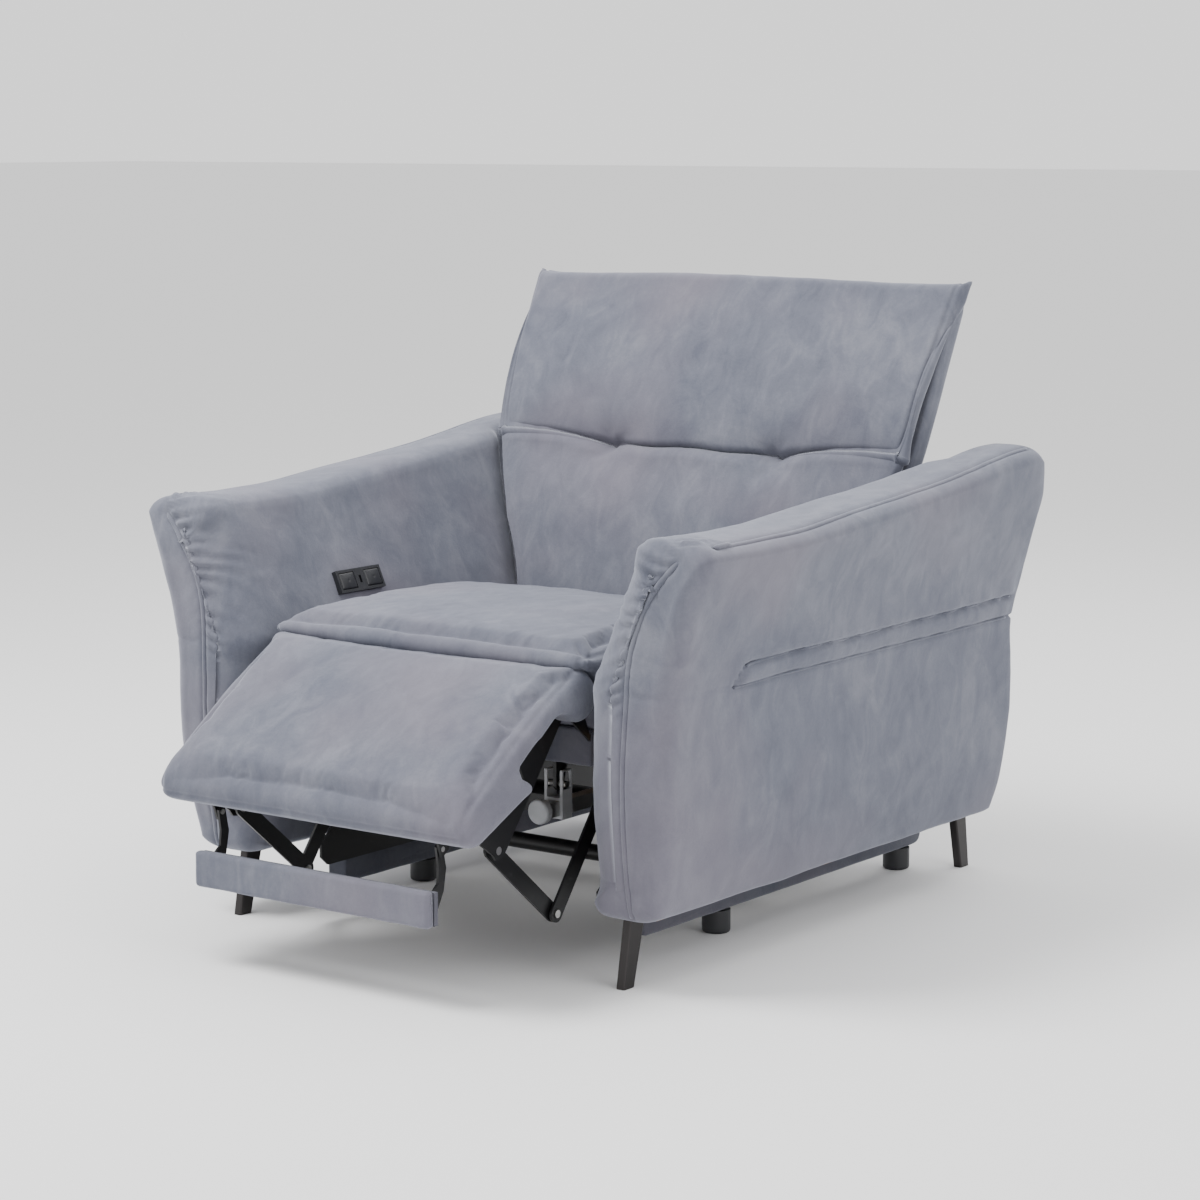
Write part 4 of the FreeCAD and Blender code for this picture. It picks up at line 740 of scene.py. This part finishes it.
back = {
    "origin": (0.285, 0.370), "turn": -math.radians(20),
    "halfWidth": [(0.03, 0.294), (0.09, 0.300), (0.20, 0.346), (0.315, 0.392), (0.45, 0.408), (0.60, 0.419),
                  (0.64, 0.421)],
    "seam": 0.318, "seamEnd": 0.334, "seamArch": 0.0075, "tuft": 0.162, "tuftDepth": 0.024,
    "tuftReach": 0.034,
    "lumbarFace": [(0.03, -0.064), (0.10, -0.073), (0.20, -0.079), (0.315, -0.066)],
    "headFace": [(0.31, -0.064), (0.38, -0.070), (0.48, -0.062), (0.60, -0.040), (0.64, -0.032)],
    "rear": [(0.03, -0.006), (0.58, -0.006), (0.60, 0.006), (0.64, 0.010)],
    "bottom": 0.036, "top": 0.628, "topCrown": 0.006, "ear": 0.010, "sideSet": 0.012,
    "seamHalf": 0.39, "seamOuter": 0.40, "frontRim": 0.017, "rearRim": 0.006, "boxing": 0.003,
    "creaseDepth": 0.0022, "seamDepth": 0.0065, "seamWidth": 0.016, "sideSeam": 0.0025,
}


def seamHeight(x):
    ax = np.abs(x)
    inner = back["seam"] + 0.004 * np.sin(np.pi * np.clip(ax / back["tuft"], 0, 1) + np.pi / 2) ** 2
    t = np.clip((ax - back["tuft"]) / (back["seamOuter"] - back["tuft"]), 0, 1)
    outer = back["seam"] + (back["seamEnd"] - back["seam"]) * t + back["seamArch"] * np.sin(np.pi * t)
    return np.where(ax < back["tuft"], inner, outer)


def backFace(x, u, table):
    ratio = np.clip(np.abs(x) / spline(back["halfWidth"], u), 0, 1)
    return spline(table, u) + back["sideSet"] * ratio**3.0


def lumbarOutline(A, B):
    bottom = back["bottom"]
    x = (A - 0.5) * 2
    u = bottom + (seamHeight(x * back["seamHalf"]) - bottom) * B
    return x * spline(back["halfWidth"], u), u


def headOutline(A, B):
    x = (A - 0.5) * 2
    low = seamHeight(x * back["seamHalf"])
    high = back["top"] + back["ear"] * np.abs(x) ** 14 + back["topCrown"] * (1 - x**2)
    u = low + (high - low) * B
    return x * (spline(back["halfWidth"], u) + 0.004 * B**8), u


cushions = []
for name, outline, table, rows in (("lumbarCushion", lumbarOutline, back["lumbarFace"], 70),
                                   ("headCushion", headOutline, back["headFace"], 74)):
    verts, faces = slab(150, rows, outline,
                        lambda x, u: -backFace(x, u, table), lambda x, u: -spline(back["rear"], u),
                        back["frontRim"], back["rearRim"], 6, back["boxing"])
    verts = np.stack([verts[:, 0], -verts[:, 2], verts[:, 1]], 1)
    cushions.append(meshFrom(name, inFrame(verts, back["origin"], back["turn"]), faces))
lumbar, head = cushions
for piece in (lumbar, head):
    p = coords(piece)
    q = outFrame(p, back["origin"], back["turn"])
    front = smooth(-0.03, -0.045, q[:, 1])
    seamGap = q[:, 2] - seamHeight(q[:, 0])
    amount = 0.0016 * waves(p, 0.26, 21) + 0.0007 * waves(p, 0.08, 22)
    dent = np.zeros(len(p))
    for side in (-1, 1):
        d = np.hypot(q[:, 0] - side * back["tuft"], (q[:, 2] - back["seam"]) * 1.3)
        dent += back["tuftDepth"] * np.exp(-(d / back["tuftReach"]) ** 1.4) * front
        # creases that leave each tuft
        angle = np.arctan2(q[:, 2] - back["seam"], (q[:, 0] - side * back["tuft"]) * side)
        amount -= (back["creaseDepth"] * np.cos(angle * 5) * np.exp(-np.abs(d - back["tuftReach"]) / 0.018)
                   * front * smooth(0.006, 0.020, np.abs(seamGap)))
    amount -= back["seamDepth"] * np.exp(-np.abs(seamGap) / back["seamWidth"]) * front
    # the side seam that closes the front panel
    width = spline(back["halfWidth"], q[:, 2])
    amount -= back["sideSeam"] * bell(np.abs(q[:, 0]) - (width - 0.006), 0.0035)
    push(piece, amount)
    q = outFrame(coords(piece), back["origin"], back["turn"])
    q[:, 1] += dent
    setCoords(piece, inFrame(q, back["origin"], back["turn"]))
finish(lumbar, "back", fabric, ["lumbar_cushion"])
finish(head, "back", fabric, ["head_cushion"])
print("back cushions made")

# the closed rear of the back: a fabric-covered panel with rounded edges
backCover = {"low": 0.045, "high": 0.606, "depth": 0.022, "thick": 0.012, "inset": 0.012, "crown": 0.004,
             "inner": -0.004, "rim": 0.010, "innerRim": 0.003}


def backCoverOutline(A, B):
    u = backCover["low"] + (backCover["high"] - backCover["low"]) * B
    return (A - 0.5) * 2 * (spline(back["halfWidth"], u) - backCover["inset"]), u


verts, faces = slab(
    60, 60, backCoverOutline,
    lambda x, u: 0 * x + backCover["depth"] + backCover["thick"] + backCover["crown"] * np.cos(x * 3),
    lambda x, u: 0 * x + backCover["inner"], backCover["rim"], backCover["innerRim"], 4)
verts = np.stack([verts[:, 0], verts[:, 2], verts[:, 1]], 1)
piece = meshFrom("backCover", inFrame(verts, back["origin"], back["turn"]), faces)
push(piece, 0.001 * waves(coords(piece), 0.2, 31))
finish(piece, "back", fabric, ["back_panel"])
print("back panel made")

# side-view sections swept across the width: seat, footrest and foot flap


def sweep(name, outline, half, ends, count=110, step=0.006):
    # outline: closed (y, z) path; ends: radius of the rounding at each side; returns a closed mesh
    path = resample([(0.0, y, z) for y, z in outline + outline[:1]], step)[:-1]
    ring = np.array([(p[1], p[2]) for p in path])
    ahead, behind = np.roll(ring, -1, 0), np.roll(ring, 1, 0)
    along = ahead - behind
    inward = np.stack([along[:, 1], -along[:, 0]], 1)
    inward /= np.maximum(np.linalg.norm(inward, axis=1), 1e-9)[:, None]
    area = 0.5 * np.sum(ring[:, 0] * ahead[:, 1] - ahead[:, 0] * ring[:, 1])
    if area > 0:
        inward = -inward
    across = half * (spaced(count, 0.8) * 2 - 1)
    loops = []
    for x in across:
        edge = half - abs(x)
        inset = ends * (1 - math.sqrt(max(1 - (1 - min(edge / ends, 1)) ** 2, 0)))
        level = ring + inward * inset
        loops.append(np.stack([np.full(len(level), x), level[:, 0], level[:, 1]], 1))
    rows, cols = count, len(ring)
    verts = np.concatenate(loops)
    faces = gridFaces(rows, cols, closeCols=True)
    extra = []
    for row, flip in ((0, True), (rows - 1, False)):
        loop = loops[row]
        centre = len(verts) + sum(len(e) for e in extra)
        middle = loop.mean(0)
        layers = [loop + (middle - loop) * f for f in (0.15, 0.35, 0.6, 0.85)]
        base = row * cols
        extra.append(np.concatenate(layers + [middle[None]]))
        previous = base
        for k in range(len(layers)):
            start = centre + k * cols
            for c in range(cols):
                d = (c + 1) % cols
                quad = (previous + c, previous + d, start + d, start + c)
                faces.append(quad[::-1] if flip else quad)
            previous = start
        hub = centre + len(layers) * cols
        for c in range(cols):
            d = (c + 1) % cols
            tri = (previous + c, previous + d, hub)
            faces.append(tri[::-1] if flip else tri)
    verts = np.concatenate([verts] + extra)
    return meshFrom(name, verts, faces)


def rounded(points, radius, steps=5):
    # the closed (y, z) polygon with its corners rounded
    result = []
    count = len(points)
    for k in range(count):
        a, b, c = (np.array(points[(k + d) % count], float) for d in (-1, 0, 1))
        r = radius[k] if isinstance(radius, (list, tuple)) else radius
        before, after = a - b, c - b
        reach = min(r, 0.45 * np.linalg.norm(before), 0.45 * np.linalg.norm(after))
        p, q = b + before / np.linalg.norm(before) * reach, b + after / np.linalg.norm(after) * reach
        for s in np.linspace(0, 1, steps):
            result.append(tuple((1 - s) ** 2 * p + 2 * s * (1 - s) * b + s**2 * q))
    return result


seat = {"half": 0.297, "ends": 0.020, "cap": 0.020, "widest": 0.303,
        "crown": 0.006, "sideSeam": 0.0028,
        "outline": [(0.220, 0.348), (-0.275, 0.348), (-0.284, 0.405), (-0.312, 0.436), (-0.352, 0.452),
                    (-0.352, 0.466), (-0.240, 0.474), (-0.12, 0.477), (0.02, 0.472), (0.14, 0.456), (0.220, 0.438)],
        "radius": [0.02, 0.012, 0.02, 0.02, 0.008, 0.012, 0.04, 0.05, 0.05, 0.05, 0.02]}
seatPiece = sweep("seatCushion", rounded(seat["outline"], seat["radius"]), seat["half"], seat["ends"])
inflate(seatPiece, seat["cap"], lambda q: smooth(0.385, 0.425, q[:, 2]), seat["widest"])
p = coords(seatPiece)
top = smooth(0.43, 0.455, p[:, 2])
amount = 0.0018 * waves(p, 0.24, 41) * top + 0.0008 * waves(p, 0.07, 42)
amount += (seat["crown"] * top * np.clip(1 - (p[:, 0] / 0.30) ** 2, 0, 1)
           * np.clip(1 - ((p[:, 1] + 0.07) / 0.30) ** 2, 0, 1))
amount -= seat["sideSeam"] * bell(np.abs(p[:, 0]) - 0.286, 0.004) * top
push(seatPiece, amount)
finish(seatPiece, "seat", fabric, ["seat_cushion"])
print("seat made")

# cloth that hangs below the seat at its sides and front
skirt = {"across": (0.2655, 0.3035), "front": -0.268, "rear": 0.205, "low": 0.296, "high": 0.352, "folds": 0.004,
         "frontPanel": [(-0.281, 0.297), (-0.2712, 0.297), (-0.2712, 0.352), (-0.281, 0.352)],
         "frontHalf": 0.262, "frontRound": 0.004, "frontFolds": 0.0012}
for name, side in (("Right", 1), ("Left", -1)):
    low, high = skirt["low"], skirt["high"]
    hanging = sweep("seatSkirt" + name, rounded([(skirt["front"], low), (skirt["rear"], low), (skirt["rear"], high),
                                                 (skirt["front"], high)], 0.010),
                    (skirt["across"][1] - skirt["across"][0]) / 2, 0.008, 14, 0.005)
    p = coords(hanging)
    p[:, 0] += side * sum(skirt["across"]) / 2
    setCoords(hanging, p)
    push(hanging, skirt["folds"] * (waves(p * [1, 1, 0.35], 0.030, 81) - 0.6) * smooth(high, low, p[:, 2]))
    # the side skirts take the darker suede copy: painted shade under the seat
    finish(hanging, "seat", fabricPaintedShade)
frontSkirt = sweep("seatSkirtFront", rounded(skirt["frontPanel"], skirt["frontRound"]),
                   skirt["frontHalf"], skirt["frontRound"], 90, 0.003)
push(frontSkirt, skirt["frontFolds"] * waves(coords(frontSkirt), 0.05, 82))
# the front skirt takes the darker suede copy: painted shade under the seat
finish(frontSkirt, "seat", fabricPaintedShade)

# footrest: its own frame turns 36 degrees about the hinge at the seat's front edge
foot = {"origin": (-0.335, 0.410), "turn": math.radians(36), "half": 0.294, "ends": 0.018, "cap": 0.018,
        "widest": 0.297, "crown": 0.004, "sideSeam": 0.0024, "noseSeam": 0.0026,
        "outline": [(-0.012, 0.044), (-0.060, 0.051), (-0.180, 0.058), (-0.280, 0.055), (-0.309, 0.044),
                    (-0.318, 0.024), (-0.302, -0.001), (-0.230, -0.0145), (-0.162, -0.0275), (-0.154, -0.020),
                    (-0.179, 0.0285), (-0.110, 0.0275), (-0.052, 0.022), (-0.026, -0.030), (0.006, -0.036),
                    (0.034, -0.014), (0.034, 0.020), (0.018, 0.040)],
        "radius": [0.02, 0.03, 0.06, 0.03, 0.014, 0.012, 0.010, 0.04, 0.008, 0.01, 0.02, 0.03, 0.02, 0.02, 0.02, 0.02,
                   0.02, 0.016]}
footPiece = sweep("footrestPad", rounded(foot["outline"], foot["radius"]), foot["half"], foot["ends"])
inflate(footPiece, foot["cap"], lambda q: smooth(0.024, 0.042, q[:, 2]), foot["widest"])
p = coords(footPiece)
amount = (0.0014 * waves(p, 0.24, 51) + 0.0007 * waves(p, 0.07, 52)) * smooth(0.0, 0.03, p[:, 2])
upper = smooth(0.030, 0.042, p[:, 2])
amount += (foot["crown"] * upper * np.clip(1 - (p[:, 0] / 0.29) ** 2, 0, 1)
           * np.clip(1 - ((p[:, 1] + 0.17) / 0.16) ** 2, 0, 1))
amount -= foot["sideSeam"] * bell(np.abs(p[:, 0]) - 0.282, 0.004) * upper
nose = np.clip((-0.255 - p[:, 1]) / 0.04, 0, 1)
amount -= foot["noseSeam"] * bell(p[:, 2] - 0.030, 0.0035) * nose
push(footPiece, amount)
setCoords(footPiece, inFrame(coords(footPiece), foot["origin"], foot["turn"]))
finish(footPiece, "footrest", fabric, ["footrest_pad"])
print("footrest made")

# foot flap
flap = {"half": 0.222, "ends": 0.008,
        "outline": [(-0.591, 0.115), (-0.606, 0.115), (-0.606, 0.168), (-0.591, 0.168)], "radius": 0.006}
flapPiece = sweep("flapPad", rounded(flap["outline"], flap["radius"]), flap["half"], flap["ends"], 90, 0.003)
push(flapPiece, 0.0006 * waves(coords(flapPiece), 0.10, 61))
finish(flapPiece, "flap", fabric, ["flap_pad"])
# the flap board takes the darker suede copy: painted shade under the flap
for entry in frame["nodes"]["flap_board"].material_slots:
    entry.material = fabricPaintedShade
print("flap made")

# covered base rails
rail = {"outline": [(-0.214, 0.037), (0.577, 0.037), (0.577, 0.105), (-0.214, 0.105)],
        "radius": [0.010, 0.022, 0.006, 0.006], "half": 0.0185, "ends": 0.005, "across": 0.289}
for name, side in (("Right", 1), ("Left", -1)):
    railPiece = sweep("baseRail" + name, rounded(rail["outline"], rail["radius"]), rail["half"], rail["ends"],
                      16, 0.008)
    p = coords(railPiece)
    p[:, 0] += side * rail["across"]
    setCoords(railPiece, p)
    push(railPiece, 0.0004 * waves(coords(railPiece), 0.09, 71))
    # the base rails take the darker suede copy: painted shade low under the chair
    finish(railPiece, "base", fabricPaintedShade, ["base_rail_" + name.lower()])
print("rails made")

# control panel: two domed buttons, with the charging port between them
panel = {"origin": (-0.336887, -0.102, 0.500), "normal": (0.9126, 0.0, 0.4090), "button": (0.036, 0.027),
         "offset": 0.030, "low": 0.0045, "high": 0.0098, "dome": 0.0016, "bevel": 0.0030, "lowBevel": 0.0006,
         "dot": 0.0016}


def onPanel(u, v, height):
    # u along the chair's depth, v up the panel, height out of it
    nx, _, nz = panel["normal"]
    ox, oy, oz = panel["origin"]
    return np.stack([ox + height * nx - v * nz, oy + u, oz + height * nz + v * nx], -1)


def button(name, u0, body, node):
    w, h = panel["button"]

    def face(x, y):
        # a dome with a small dent in the middle
        return (panel["high"] + panel["dome"] * (1 - (2 * x / w) ** 2) * (1 - (2 * y / h) ** 2)
                - panel["dot"] * 0.6 * np.exp(-(np.hypot(x, y) / panel["dot"]) ** 4))

    verts, faces = slab(40, 32, lambda A, B: ((A - 0.5) * w, (B - 0.5) * h), face,
                        lambda x, y: 0 * x + panel["low"], panel["bevel"], panel["lowBevel"], 3)
    piece = meshFrom(name, onPanel(verts[:, 0] + u0, verts[:, 1], verts[:, 2]), faces)
    finish(piece, body, blackPlastic, [node])


button("buttonOpen", panel["offset"], "button_open", "button_open")
button("buttonClose", -panel["offset"], "button_close", "button_close")
print("buttons made")

# camera, light and floor
studio = {"worldStrength": 1.35, "aim": (0, 0, 0.4), "floor": 80.0, "lens": 96, "sensor": 36,
          "from": (2.9747, -3.9306, 1.2142), "to": (-0.003, 0.098, 0.474)}
world = bpy.data.worlds.new("studio")
bpy.context.scene.world = world
world.use_nodes = True
world.node_tree.nodes["Background"].inputs[0].default_value = (1, 1, 1, 1)
world.node_tree.nodes["Background"].inputs[1].default_value = studio["worldStrength"]

# place, size and power of each lamp
lights = {"key": ((-1.2, -1.4, 3.6), 1.6, 190), "fill": ((3.8, -0.6, 2.2), 2.6, 60),
          "rear": ((0.6, 3.0, 3.0), 2.4, 50)}
for name, (place, size, power) in lights.items():
    lamp = bpy.data.lights.new(name, "AREA")
    lamp.energy = power
    lamp.size = size
    holder = bpy.data.objects.new(name, lamp)
    holder.location = place
    holder.rotation_euler = (Vector(studio["aim"]) - Vector(place)).to_track_quat("-Z", "Y").to_euler()
    bpy.context.collection.objects.link(holder)

half = studio["floor"]
floor = meshFrom("floor", np.array([(-half, -half, 0), (half, -half, 0), (half, half, 0), (-half, half, 0)], float),
                 [(0, 1, 2, 3)], False)
floor.data.materials.append(newMaterial("floorWhite", Roughness=0.9)[0])

view = bpy.data.cameras.new("camera")
view.lens = studio["lens"]
view.sensor_width = studio["sensor"]
camera = bpy.data.objects.new("camera", view)
camera.location = studio["from"]
camera.rotation_euler = (Vector(studio["to"]) - camera.location).to_track_quat("-Z", "Y").to_euler()
bpy.context.collection.objects.link(camera)
bpy.context.scene.camera = camera
